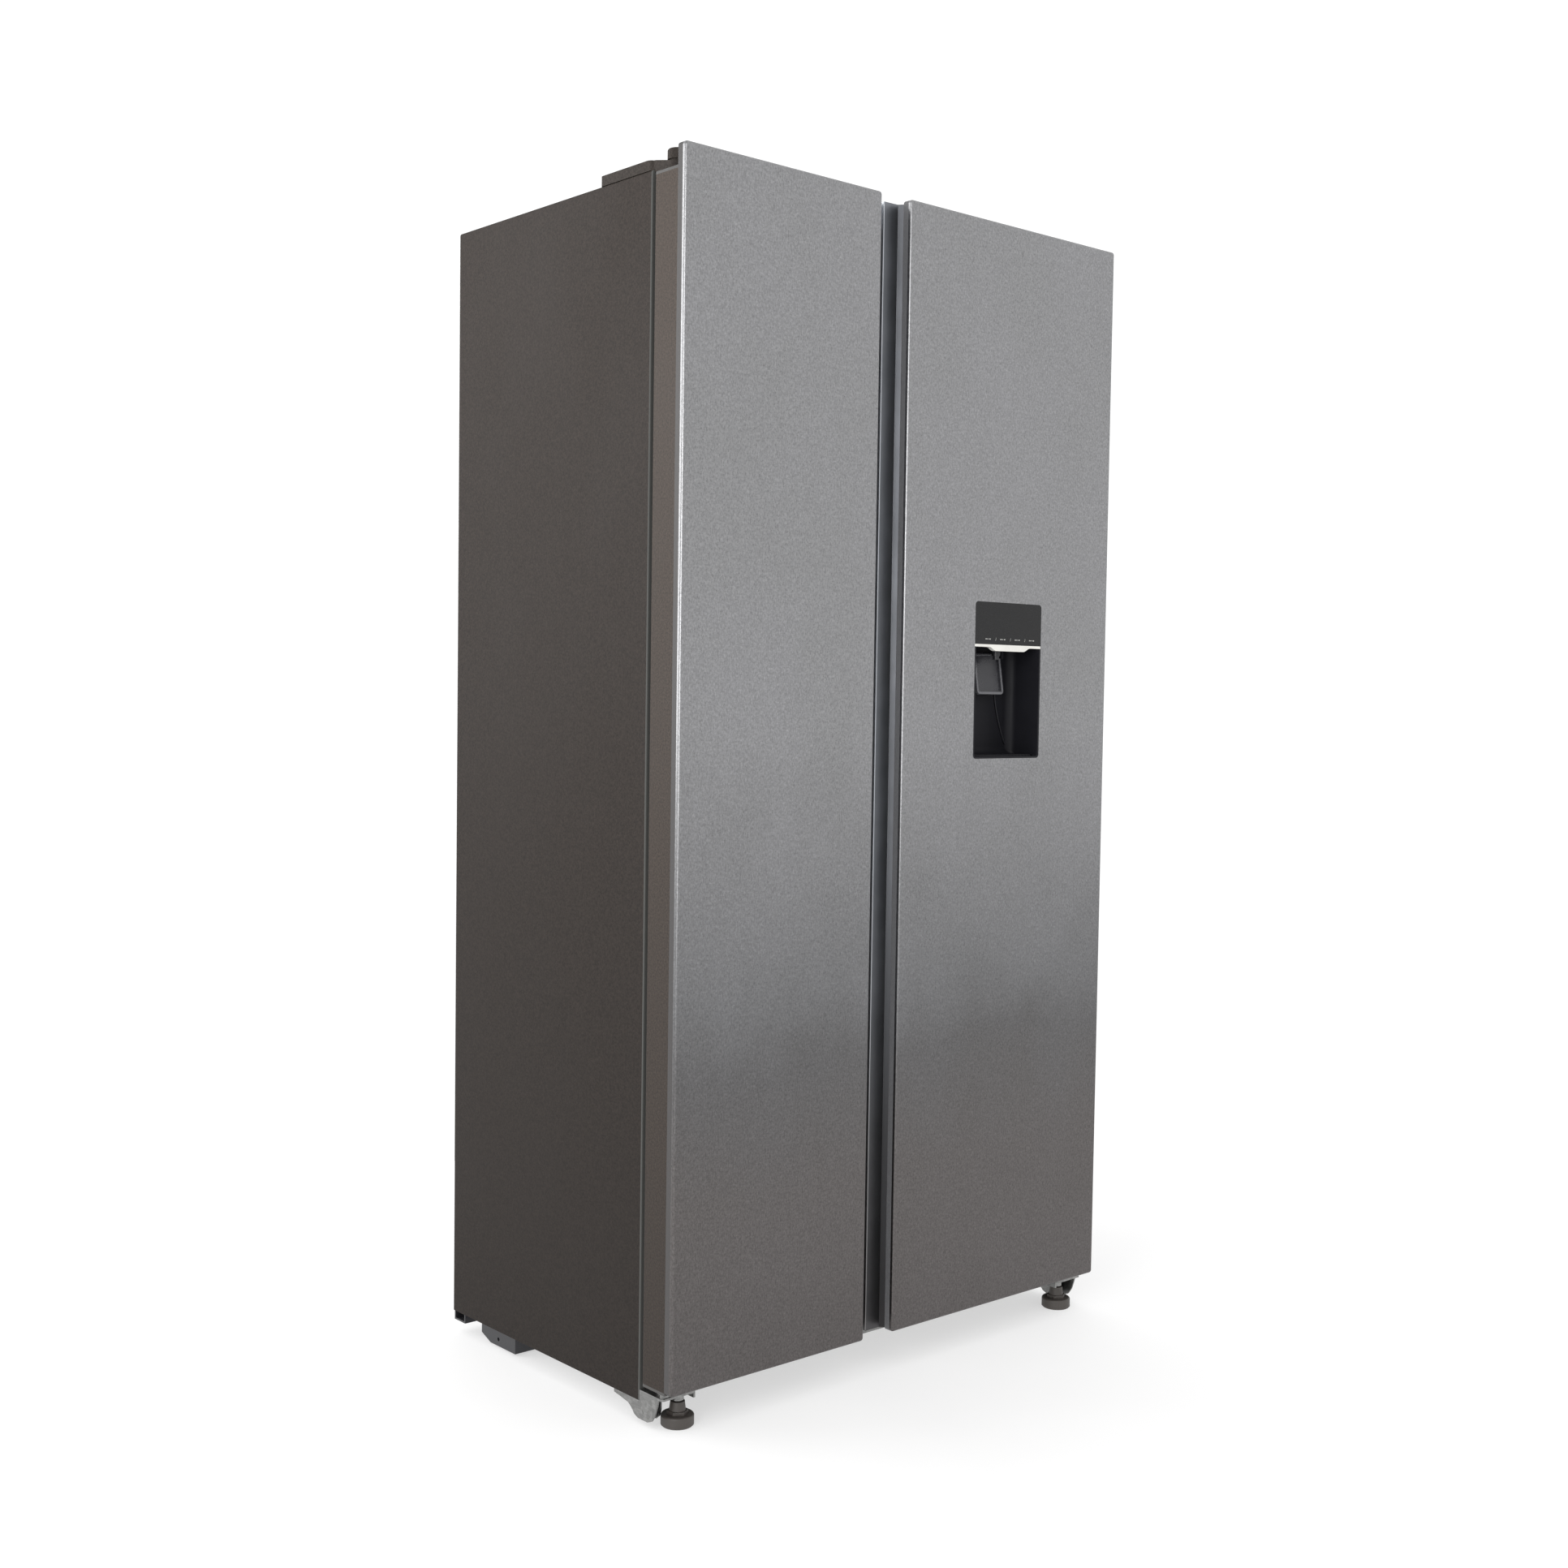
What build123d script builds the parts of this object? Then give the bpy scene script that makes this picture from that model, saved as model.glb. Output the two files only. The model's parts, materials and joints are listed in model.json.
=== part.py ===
"""Side by side refrigerator: cabinet, two doors with a shared finger channel, and their works.

Millimetres. +X to the right, +Y to the back, +Z up. The origin is on the floor, at the centre of
the footprint. Heights are above the floor. Depths, written d, are measured backwards from the
plane of the door fronts, so y = d - DEPTH / 2.
"""

from build123d import *
import os

# ---------------------------------------------------------------- driving dimensions
WIDTH = 910.0
DEPTH = 580.0
HEIGHT = 1786.0
HALF = WIDTH / 2

# doors, measured from each door's hinge side edge (u) towards its free edge
LEFT_PANEL_WIDTH = 369.8
RIGHT_PANEL_WIDTH = 479.8
PANEL_BOTTOM = 60.0
PANEL_DEPTH = 6.8
PANEL_SHEET = 0.9
PANEL_EDGE_RADIUS = 4.2
PANEL_CORNER_RADIUS = 5.0
FRAME_DEPTH = 17.0
FRAME_BAR = 12.0
DOOR_DEPTH = 69.0
DOOR_BOTTOM = 58.0
DOOR_TOP = 1756.0
CAP = 4.0
LINER = 2.0
CASING_SET_IN = 0.6
CASING_SHEET = 1.0
CASING_RETURN = 22.0
GRIP_OUT = 25.2
GRIP_FLOOR = 33.0
GRIP_RAMP = 22.0
GRIP_TURN = 3.6
GRIP_LIP_RADIUS = 1.5
GRIP_WALL = 2.5
GRIP_TOP = HEIGHT - 2.0
GASKET_WIDTH = 14.0
GASKET_BACK = 76.7

# door hinge line
PIVOT_IN = 20.0
PIVOT_DEPTH = 44.0
PIN_RADIUS = 5.0
BORE_RADIUS = 5.05
PIN_REACH = 22.0

# cabinet
SHELL_HALF = 453.0
SHELL_SHEET = 1.0
SHELL_RETURN = 12.0
SHELL_BEND = 2.0
CABINET_FRONT = 77.3
CABINET_BOTTOM = 34.5
CABINET_TOP = 1761.5
CAVITY_BOTTOM = 100.0
CAVITY_TOP = 1712.0
CAVITY_BACK = 520.0
CAVITY_OUT = 405.0
FREEZER_IN = -92.0
FRIDGE_IN = -18.0
STEP_DEPTH = 380.0
STEP_TOP = 315.0
FLANGE_OUT = SHELL_HALF - SHELL_RETURN
FLANGE_SHEET = 2.0
FLANGE_BOTTOM = 60.0
MULLION_LIP = 6.0

# machine compartment at the lower back
MACHINE_FRONT = 415.0
MACHINE_TOP = 275.0
SHEET = 1.5
COVER_BACK = 577.0
COVER_SHEET = 3.0
COVER_BOTTOM = 20.0
COVER_LIP = 545.0
CORD_INLET = (-40.0, 110.0)
COMPRESSOR = (245.0, 492.0)
COMPRESSOR_TOP = 215.0
COIL_ENDS = (-400.0, -170.0)
COIL_ROWS = (470.0, 520.0)
COIL_BOTTOM = 92.0
COIL_PITCH = 26.0
PIPE_RADIUS = 3.0

# fans, as the height of each axle with its x or its depth
FREEZER_FAN = ((FREEZER_IN - CAVITY_OUT) / 2, 960.0)
CONDENSER_FAN = (495.0, 160.0)
SHAFT_RADIUS = 2.0
DUCT_FRONT = 452.0
TOWER_X = (130.0, 257.0)
TOWER_FRONT = 500.0

# shelves, drawers and door bins
FREEZER_SHELVES = (520.0, 760.0, 1000.0, 1240.0, 1480.0)
FRIDGE_SHELVES = (520.0, 800.0, 1080.0, 1380.0)
SHELF_FRONT = 187.0
SHELF_GLASS = 4.0
RUNNER = 6.0
DRAWER_FRONT = 185.0
DRAWER_GAP = 5.0
DRAWER_WALL = 2.5
LOWER_DRAWER = (110.0, 296.0)
UPPER_DRAWER = (325.0, 500.0)
BIN_WALL = 2.5
BIN_FRONT = 165.0
DIKE_FRONT = 100.0
DIKE_SIDE = 60.0
DIKE_WALL = 12.0
DIKE_BOTTOM = 130.0
DIKE_TOP = 1690.0
LEFT_BINS = ((560.0, 95.0), (850.0, 95.0), (1140.0, 95.0), (1430.0, 95.0))
RIGHT_BINS = ((560.0, 110.0), (760.0, 95.0), (1560.0, 85.0))

# dispenser in the right door, in cabinet x
DISPENSER_X = (132.0, 288.0)
DISPENSER_Z = (944.0, 1192.0)
DISPENSER_CORNER = 6.0
DISPENSER_GAP = 0.3
RECESS_TOP = 1121.0
RECESS_BACK = 62.0
CONTROL_BOTTOM = 1125.0
PADDLE_X = 212.0
PADDLE_WIDTH = 62.0
PADDLE_AXIS = (52.0, 1110.0)
PADDLE_BOTTOM = 1045.0
PADDLE_TILT = 9.0
TANK_X = (70.0, 350.0)
TANK_Z = (1240.0, 1470.0)
TANK_D = (71.0, 160.0)
LID_X = (154.0, 266.0)
LID_D = (86.0, 150.0)
LID_LIFT = 3.5

# feet and rollers
FOOT_X = 411.0
FOOT_DEPTH = 42.0
FOOT_RADIUS = 24.0
# rollers, as (depth and height of the axle, radius)
FRONT_ROLLER = (71.0, 18.5, 12.5)
REAR_ROLLER = (462.0, 15.0, 15.0)
AXLE_RADIUS = 3.0
AXLE_BORE = 3.05


# ---------------------------------------------------------------- small helpers
def block(x0, x1, d0, d1, z0, z1):
    """Box between two corners."""
    middle = ((x0 + x1) / 2, (d0 + d1 - DEPTH) / 2, (z0 + z1) / 2)
    return Pos(*middle) * Box(abs(x1 - x0), d1 - d0, z1 - z0)


def rod(start, end, radius):
    """Round bar between two (x, d, z) points."""
    foot = Vector(start[0], start[1] - DEPTH / 2, start[2])
    tip = Vector(end[0], end[1] - DEPTH / 2, end[2])
    plane = Plane(origin=foot, z_dir=tip - foot)
    return plane * Cylinder(radius, (tip - foot).length, align=(Align.CENTER, Align.CENTER, Align.MIN))


def plan_prism(outline, z0, z1):
    """Solid whose plan is a closed (x, d) outline."""
    face = Pos(0, -DEPTH / 2, z0) * make_face(outline)
    return extrude(face, amount=z1 - z0, dir=(0, 0, 1))


def side_prism(outline, x0, x1):
    """Solid whose side view is a closed (d, z) outline."""
    face = Pos(x0, -DEPTH / 2, 0) * (Plane.YZ * make_face(outline))
    return extrude(face, amount=x1 - x0, dir=(1, 0, 0))


def front_prism(outline, d0, d1):
    """Solid whose front view is a closed (x, z) outline."""
    face = Pos(0, d0 - DEPTH / 2, 0) * (Plane.XZ * make_face(outline))
    return extrude(face, amount=d1 - d0, dir=(0, 1, 0))


def polygon(*points):
    """Closed outline through straight corners."""
    return Polyline(*points, close=True)


def edges_along(part, axis):
    return part.edges().filter_by(axis)


def mirrored(part):
    """The same piece on the other side of the cabinet."""
    return mirror(part, about=Plane.YZ)


def group(*parts):
    """Several separate solids of one node."""
    return Compound([solid for part in parts for solid in part.solids()])


def spaced(first, last, count):
    return [first + (last - first) * i / (count - 1) for i in range(count)]


# ---------------------------------------------------------------- door pieces, in door space
# Door space puts the hinge side edge at x = 0 and the free edge at x = the panel's width.
def hang(side, part):
    """Put a piece from door space on the left (-1) or right (+1) side of the cabinet."""
    if side < 0:
        return Pos(-HALF, 0, 0) * part
    return Pos(HALF, 0, 0) * mirror(part, about=Plane.YZ)


def door_panel(width):
    """Folded stainless sheet: a shallow tray, open at the back."""
    outer = block(0, width, 0, PANEL_DEPTH, PANEL_BOTTOM, HEIGHT)
    outer = fillet(edges_along(outer, Axis.Y), PANEL_CORNER_RADIUS)
    outer = fillet(outer.faces().sort_by(Axis.Y)[0].edges(), PANEL_EDGE_RADIUS)
    t = PANEL_SHEET
    inner = block(t, width - t, t, PANEL_DEPTH + 1, PANEL_BOTTOM + t, HEIGHT - t)
    inner = fillet(edges_along(inner, Axis.Y), PANEL_CORNER_RADIUS - t)
    inner = fillet(inner.faces().sort_by(Axis.Y)[0].edges(), PANEL_EDGE_RADIUS - t)
    return outer - inner


def door_frame(width):
    """Backing ring behind the front panel; its top bar closes the panel above the door body."""
    outer = block(0, width, PANEL_DEPTH, FRAME_DEPTH, PANEL_BOTTOM, HEIGHT)
    outer = fillet(edges_along(outer, Axis.Y), PANEL_CORNER_RADIUS)
    window = block(FRAME_BAR, width - FRAME_BAR, 0, DOOR_DEPTH, PANEL_BOTTOM + FRAME_BAR, DOOR_TOP - CAP)
    return outer - window


def door_casing():
    """Painted sheet side, folded in at the front and the back."""
    s, t = CASING_SET_IN, CASING_SHEET
    outer = block(s, CASING_RETURN, FRAME_DEPTH, DOOR_DEPTH, DOOR_BOTTOM + CAP, DOOR_TOP - CAP)
    rear_edge = edges_along(outer, Axis.Z).group_by(Axis.Y)[-1].sort_by(Axis.X)[0]
    outer = fillet(rear_edge, 3.0)
    inner = block(s + t, CASING_RETURN + 1, FRAME_DEPTH + t, DOOR_DEPTH - t, DOOR_BOTTOM, DOOR_TOP)
    rear_edge = edges_along(inner, Axis.Z).group_by(Axis.Y)[-1].sort_by(Axis.X)[0]
    inner = fillet(rear_edge, 2.0)
    return outer - inner


def hinge_boss(z0, z1):
    return block(PIVOT_IN - 12, PIVOT_IN + 12, PIVOT_DEPTH - 12, PIVOT_DEPTH + 12, z0, z1)


def door_end_caps(width):
    """Moulded top and bottom caps; each has a boss bored for a hinge pin."""
    caps = []
    for z0, z1, boss0, boss1 in (
        (DOOR_TOP - CAP, DOOR_TOP, DOOR_TOP - 30, DOOR_TOP),
        (DOOR_BOTTOM, DOOR_BOTTOM + CAP, DOOR_BOTTOM, DOOR_BOTTOM + 30),
    ):
        plate = plan_prism(body_plan(width, CASING_SET_IN, DOOR_DEPTH), z0, z1)
        plate = fillet(edges_along(plate, Axis.Z).group_by(Axis.X)[0].sort_by(Axis.Y)[-1], 3.0)
        blind = boss0 + 4 if z1 == DOOR_TOP else boss0
        hole = rod((PIVOT_IN, PIVOT_DEPTH, blind), (PIVOT_IN, PIVOT_DEPTH, blind + 26), BORE_RADIUS)
        caps.append(plate + hinge_boss(boss0, boss1) - hole)
    return group(*caps)


def body_plan(width, side, back):
    """Plan of the door body behind the frame; its free side follows the finger channel."""
    w = GRIP_WALL
    under, free = width - FRAME_BAR - w, width + GRIP_OUT - w
    return polygon(
        (side, FRAME_DEPTH),
        (under, FRAME_DEPTH),
        (under, GRIP_RAMP + w),
        (width - GRIP_TURN - 1.0, GRIP_FLOOR + w),
        (free, GRIP_FLOOR + w),
        (free, back),
        (side, back),
    )


def door_grip(width):
    """Finger channel along the free edge: a ramp that dives under the frame, a floor and a lip."""
    w, r = GRIP_WALL, GRIP_LIP_RADIUS
    edge, under = width + GRIP_OUT, width - FRAME_BAR
    lip = (edge - r, GRIP_FLOOR + 1.0)
    front = Polyline((under, FRAME_DEPTH), (under, GRIP_RAMP), (width - GRIP_TURN, GRIP_FLOOR), lip)
    rounding = ThreePointArc(lip, (edge - 0.3 * r, GRIP_FLOOR + 1.0 + 0.3 * r), (edge, GRIP_FLOOR + 1.0 + r))
    back = Polyline(
        (edge, GRIP_FLOOR + 1.0 + r),
        (edge, DOOR_DEPTH),
        (edge - w, DOOR_DEPTH),
        (edge - w, GRIP_FLOOR + w),
        (width - GRIP_TURN - 1.0, GRIP_FLOOR + w),
        (under - w, GRIP_RAMP + w),
        (under - w, FRAME_DEPTH),
        (under, FRAME_DEPTH),
    )
    return plan_prism(front + rounding + back, PANEL_BOTTOM, GRIP_TOP)


def door_foam(width):
    """Insulation that fills the door between its panel and its liner."""
    low, high = DOOR_BOTTOM + CAP, DOOR_TOP - CAP
    t = CASING_SET_IN + CASING_SHEET
    core = plan_prism(body_plan(width, t, DOOR_DEPTH - LINER), low, high)
    core -= block(0, t + 3, DOOR_DEPTH - LINER - 3, DOOR_DEPTH, 0, HEIGHT)
    bar, bottom = FRAME_BAR, PANEL_BOTTOM + FRAME_BAR
    core += block(bar, width - bar, PANEL_SHEET, FRAME_DEPTH, bottom, high)
    core -= block(0, CASING_RETURN, FRAME_DEPTH, FRAME_DEPTH + CASING_SHEET, 0, HEIGHT)
    core -= hinge_boss(DOOR_TOP - 30, DOOR_TOP)
    return core - hinge_boss(DOOR_BOTTOM, DOOR_BOTTOM + 30)


def door_liner(width):
    """Inner skin with a raised ring that plugs into the cabinet and holds the bins."""
    free = width + GRIP_OUT - GRIP_WALL
    skin = block(CASING_RETURN, free, DOOR_DEPTH - LINER, DOOR_DEPTH, DOOR_BOTTOM + CAP, DOOR_TOP - CAP)
    ring = block(DIKE_SIDE, width - 20, DOOR_DEPTH, DIKE_FRONT, DIKE_BOTTOM, DIKE_TOP)
    ring = fillet(edges_along(ring, Axis.Y), 14.0)
    w = DIKE_WALL
    hollow = block(
        DIKE_SIDE + w, width - 20 - w, DOOR_DEPTH, DIKE_FRONT + 1, DIKE_BOTTOM + w, DIKE_TOP - w
    )
    hollow = fillet(edges_along(hollow, Axis.Y), 6.0)
    ring -= hollow
    ring = fillet(ring.faces().sort_by(Axis.Y)[-1].edges(), 3.0)
    return group(skin, ring)


def door_gasket(width):
    """Magnetic seal around the liner, just clear of the closed cabinet."""
    u0, u1 = CASING_RETURN + 2, width + 16
    z0, z1 = 66.0, 1744.0
    g = GASKET_WIDTH
    outer = block(u0, u1, DOOR_DEPTH, GASKET_BACK, z0, z1)
    outer -= block(u0 + g, u1 - g, 0, 2 * GASKET_BACK, z0 + g, z1 - g)
    groove = block(u0 + 5, u1 - 5, DOOR_DEPTH + 3, DOOR_DEPTH + 5.5, z0 + 5, z1 - 5)
    groove -= block(u0 + 9, u1 - 9, 0, 2 * GASKET_BACK, z0 + 9, z1 - 9)
    return outer - groove


def door_bin(width, z0, height):
    """Open bin that hangs between the liner's dikes; its front rail is rounded."""
    u0, u1 = DIKE_SIDE + DIKE_WALL + 2, width - 36
    w = BIN_WALL
    outer = block(u0, u1, DOOR_DEPTH + 2, BIN_FRONT, z0, z0 + height)
    outer = fillet(edges_along(outer, Axis.Z).group_by(Axis.Y)[-1], 12.0)
    outer = fillet(outer.faces().sort_by(Axis.Z)[0].edges(), 3.0)
    inner = block(u0 + w, u1 - w, DOOR_DEPTH + 2 + w, BIN_FRONT - w, z0 + w, z0 + height + 1)
    inner = fillet(edges_along(inner, Axis.Z).group_by(Axis.Y)[-1], 10.0)
    dikes = (DIKE_SIDE + DIKE_WALL, width - 20 - DIKE_WALL)
    lugs = block(*dikes, DOOR_DEPTH + 2, 92, z0 + height - 30, z0 + height - 8)
    return outer + lugs - inner


def write_door(side, name, width, bins, cut):
    """Write one door's pieces; cut removes the dispenser's opening where the door has one."""
    pieces = {
        "panel": door_panel(width),
        "frame": door_frame(width),
        "casing": door_casing(),
        "end_caps": door_end_caps(width),
        "grip": door_grip(width),
        "foam": door_foam(width),
        "liner": door_liner(width),
        "gasket": door_gasket(width),
        "bins": group(*[door_bin(width, z0, height) for z0, height in bins]),
    }
    for piece, shape in pieces.items():
        write(f"{name}_door_{piece}", cut(piece, hang(side, shape)))


# ---------------------------------------------------------------- dispenser
def rounded_front(x0, x1, z0, z1, radius, d0, d1):
    """Slab with its four front view corners rounded."""
    slab = block(x0, x1, d0, d1, z0, z1)
    return fillet(edges_along(slab, Axis.Y), radius)


def dispenser_cut(piece, shape):
    """Open the right door's panel and foam for the dispenser."""
    if piece not in ("panel", "foam"):
        return shape
    x0, x1 = DISPENSER_X
    z0, z1 = DISPENSER_Z
    depth = 2 * PANEL_SHEET if piece == "panel" else DOOR_DEPTH - LINER
    return shape - rounded_front(x0, x1, z0, z1, DISPENSER_CORNER, -1, depth)


def dispenser_housing():
    """Dark moulded box with the recess below and the pocket for the controls above."""
    g, wall = DISPENSER_GAP, 2.5
    x0, x1 = DISPENSER_X[0] + g, DISPENSER_X[1] - g
    z0, z1 = DISPENSER_Z[0] + g, DISPENSER_Z[1] - g
    box = rounded_front(x0, x1, z0, z1, DISPENSER_CORNER - g, 0.3, DOOR_DEPTH - LINER - 0.5)
    recess = block(x0 + wall, x1 - wall, 0, RECESS_BACK, z0 + wall, RECESS_TOP)
    recess = fillet(edges_along(recess, Axis.Y).group_by(Axis.Z)[0], 4.0)
    recess = fillet(recess.faces().sort_by(Axis.Y)[-1].edges().filter_by(Axis.X).sort_by(Axis.Z)[0], 14.0)
    pocket = block(x0 - 1, x1 + 1, 0, 8, RECESS_TOP, z1 + 1)
    works = block(x0 + 8, x1 - 8, 8, 50, CONTROL_BOTTOM + 6, z1 - 8)
    d, z = PADDLE_AXIS
    half = PADDLE_WIDTH / 2
    body = box - recess - pocket - works
    for x in (PADDLE_X - half - 6.5, PADDLE_X + half + 1.5):
        body += block(x, x + 5, d - 6, RECESS_BACK, z - 6, z + 6)
    body -= rod((PADDLE_X - half - 10, d, z), (PADDLE_X + half + 10, d, z), 2.05)
    return body


def control_panel():
    """Glossy dark face over the controls, with rounded top corners."""
    g = DISPENSER_GAP
    face = block(DISPENSER_X[0] + g, DISPENSER_X[1] - g, 0.3, 7, CONTROL_BOTTOM, DISPENSER_Z[1] - g)
    top = edges_along(face, Axis.Y).group_by(Axis.Z)[-1]
    return fillet(top, DISPENSER_CORNER - g)


def dispenser_trim():
    """Pale bar under the controls that swells downwards in its middle."""
    x0, x1 = DISPENSER_X[0] + DISPENSER_GAP, DISPENSER_X[1] - DISPENSER_GAP
    top, high, low = CONTROL_BOTTOM, RECESS_TOP, RECESS_TOP - 6.0
    left = Spline((165, high), (183, low), tangents=((1, 0), (1, 0)))
    right = Spline((245, low), (264, high), tangents=((1, 0), (1, 0)))
    bar = Polyline((165, high), (x0, high), (x0, top), (x1, top), (x1, high), (264, high))
    return front_prism(bar + right + Line((245, low), (183, low)) + left, 0.3, 8)


def dispenser_nozzle():
    """Water spout that hangs from the recess's roof behind the trim bar."""
    top = rod((PADDLE_X, 28, 1108), (PADDLE_X, 28, RECESS_TOP), 7.0)
    tip = rod((PADDLE_X, 28, 1102), (PADDLE_X, 28, 1108), 5.0)
    bore = rod((PADDLE_X, 28, 1100), (PADDLE_X, 28, 1116), 3.0)
    return top + tip - bore


def dispenser_paddle():
    """Clear push lever with a rim and ribs; it hangs from trunnions and leans forward."""
    d, z = PADDLE_AXIS
    half = PADDLE_WIDTH / 2
    length = z - PADDLE_BOTTOM
    plate = block(PADDLE_X - half, PADDLE_X + half, d - 1.2, d + 1.2, z - length, z + 2)
    plate = fillet(edges_along(plate, Axis.Y).group_by(Axis.Z)[0], 7.0)
    rim = block(PADDLE_X - half, PADDLE_X + half, d - 4.0, d - 1.2, z - length, z - 6)
    rim = fillet(edges_along(rim, Axis.Y).group_by(Axis.Z)[0], 7.0)
    inside = block(PADDLE_X - half + 5, PADDLE_X + half - 5, d - 5, d - 1.2, z - length + 5, z)
    inside = fillet(edges_along(inside, Axis.Y).group_by(Axis.Z)[0], 3.5)
    lever = plate + (rim - inside)
    lever += rod((PADDLE_X - half, d, z), (PADDLE_X + half, d, z), 3.5)
    lever += rod((PADDLE_X - half - 6, d, z), (PADDLE_X + half + 6, d, z), 2.0)
    hinge = Axis((PADDLE_X, d - DEPTH / 2, z), (1, 0, 0))
    return lever.rotate(hinge, -PADDLE_TILT)


def water_tank():
    """Clear tank behind the door, with a filling mouth in its roof and posts for its lid."""
    x0, x1 = TANK_X
    d0, d1 = TANK_D
    z0, z1 = TANK_Z
    outer = block(x0, x1, d0, d1, z0, z1)
    outer = fillet(edges_along(outer, Axis.Z), 14.0)
    outer = fillet(outer.faces().sort_by(Axis.Z)[0].edges(), 6.0)
    wall = 2.5
    inner = block(x0 + wall, x1 - wall, d0 + wall, d1 - wall, z0 + wall, z1 - wall)
    inner = fillet(edges_along(inner, Axis.Z), 14.0 - wall)
    mouth = block(LID_X[0] + 6, LID_X[1] - 6, LID_D[0] + 6, LID_D[1] - 6, z1 - 4, z1 + 1)
    tank = outer - inner - mouth
    for x in (LID_X[0] - 7, LID_X[1] + 2):
        tank += block(x, x + 5, LID_D[0] - 4, LID_D[0] + 4, z1 - 1, z1 + 7)
    axle = (LID_D[0], z1 + LID_LIFT)
    return tank - rod((LID_X[0] - 8, *axle), (LID_X[1] + 8, *axle), 1.55)


def tank_lid():
    """Flap over the tank's mouth; it turns on two pins at its door side edge."""
    x0, x1 = LID_X
    d0, d1 = LID_D
    top = TANK_Z[1]
    flap = block(x0, x1, d0, d1, top + 0.5, top + LID_LIFT)
    flap = fillet(edges_along(flap, Axis.Z).group_by(Axis.Y)[-1], 5.0)
    flap += block((x0 + x1) / 2 - 12, (x0 + x1) / 2 + 12, d1 - 1, d1 + 5, top + 0.5, top + LID_LIFT)
    axle = (d0, top + LID_LIFT)
    flap += rod((x0, *axle), (x1, *axle), 2.5)
    return flap + rod((x0 - 7, *axle), (x1 + 7, *axle), 1.5)


# ---------------------------------------------------------------- cabinet
def outer_shell():
    """Wrapper: one sheet bent over the top and both sides, folded in at the front."""
    t = SHELL_SHEET
    outer = block(-SHELL_HALF, SHELL_HALF, CABINET_FRONT, DEPTH - SHEET, CABINET_BOTTOM, CABINET_TOP)
    outer = fillet(edges_along(outer, Axis.Y).group_by(Axis.Z)[-1], 4.0)
    outer = fillet(outer.faces().sort_by(Axis.Y)[0].edges().sort_by(Axis.Z)[1:], SHELL_BEND)
    inner = block(-SHELL_HALF + t, SHELL_HALF - t, 0, 2 * DEPTH, 0, CABINET_TOP - t)
    inner = fillet(edges_along(inner, Axis.Y).group_by(Axis.Z)[-1], 3.0)
    rim = outer & block(-HALF, HALF, CABINET_FRONT, CABINET_FRONT + t, 0, HEIGHT)
    rim -= block(-FLANGE_OUT, FLANGE_OUT, 0, DEPTH, 0, CABINET_TOP - SHELL_RETURN)
    shell = outer - inner + rim
    for side in (-1, 1):
        for x, d in hinge_screw_places():
            shell -= rod((side * x, d, CABINET_TOP - 2), (side * x, d, CABINET_TOP + 1), 3.1)
    return shell


def cavity(x0, x1, grow):
    """Food space with the step over the machine compartment; grow gives its outside."""
    x0, x1, front = x0 - grow, x1 + grow, CABINET_FRONT
    upper = block(x0, x1, front, CAVITY_BACK + grow, STEP_TOP - grow, CAVITY_TOP + grow)
    lower = block(x0, x1, front, STEP_DEPTH + grow, CAVITY_BOTTOM - grow, STEP_TOP + grow)
    return upper + lower


def front_flange(x0, x1):
    """Flat strip of the cabinet's front, between the base rail and the wrapper's fold."""
    back, top = CABINET_FRONT + FLANGE_SHEET, CABINET_TOP - SHELL_RETURN
    return block(x0, x1, CABINET_FRONT, back, FLANGE_BOTTOM, top)


def liner(x0, x1, flange_x0, flange_x1, shelves):
    """White inner box with a front flange, and ledges for the shelves and the drawers."""
    body = cavity(x0, x1, LINER) + front_flange(flange_x0, flange_x1) - cavity(x0, x1, 0)
    for height in shelves:
        for x in (x0, x1 - RUNNER):
            body += block(x, x + RUNNER, SHELF_FRONT + 8, CAVITY_BACK - 70, height - RUNNER, height)
    for bottom, back in ((LOWER_DRAWER[0], STEP_DEPTH - 5), (UPPER_DRAWER[0], CAVITY_BACK - 90)):
        for x in (x0, x1 - 8):
            body += block(x, x + 8, DRAWER_FRONT, back, bottom - RUNNER - 0.3, bottom - 0.3)
    return body


def mullion_strip():
    """Steel strip over the wall between the two compartments."""
    return front_flange(FREEZER_IN + MULLION_LIP, FRIDGE_IN - MULLION_LIP)


def base_plate():
    """One folded sheet: front rail, floor, and the step over the machine compartment."""
    b, t = CABINET_BOTTOM, SHEET
    x = SHELL_HALF - SHELL_SHEET
    front = CABINET_FRONT
    outline = polygon(
        (front, b),
        (COVER_BACK - COVER_SHEET, b),
        (COVER_BACK - COVER_SHEET, b + t),
        (MACHINE_FRONT, b + t),
        (MACHINE_FRONT, MACHINE_TOP),
        (DEPTH - SHEET, MACHINE_TOP),
        (DEPTH - SHEET, MACHINE_TOP + t),
        (MACHINE_FRONT - t, MACHINE_TOP + t),
        (MACHINE_FRONT - t, b + t),
        (front + t, b + t),
        (front + t, FLANGE_BOTTOM),
        (front, FLANGE_BOTTOM),
    )
    plate = side_prism(outline, -x, x)
    for side in (-1, 1):
        plate -= block(side * FLANGE_OUT, side * HALF, front, front + SHELL_SHEET, b, FLANGE_BOTTOM)
    return plate


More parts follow.
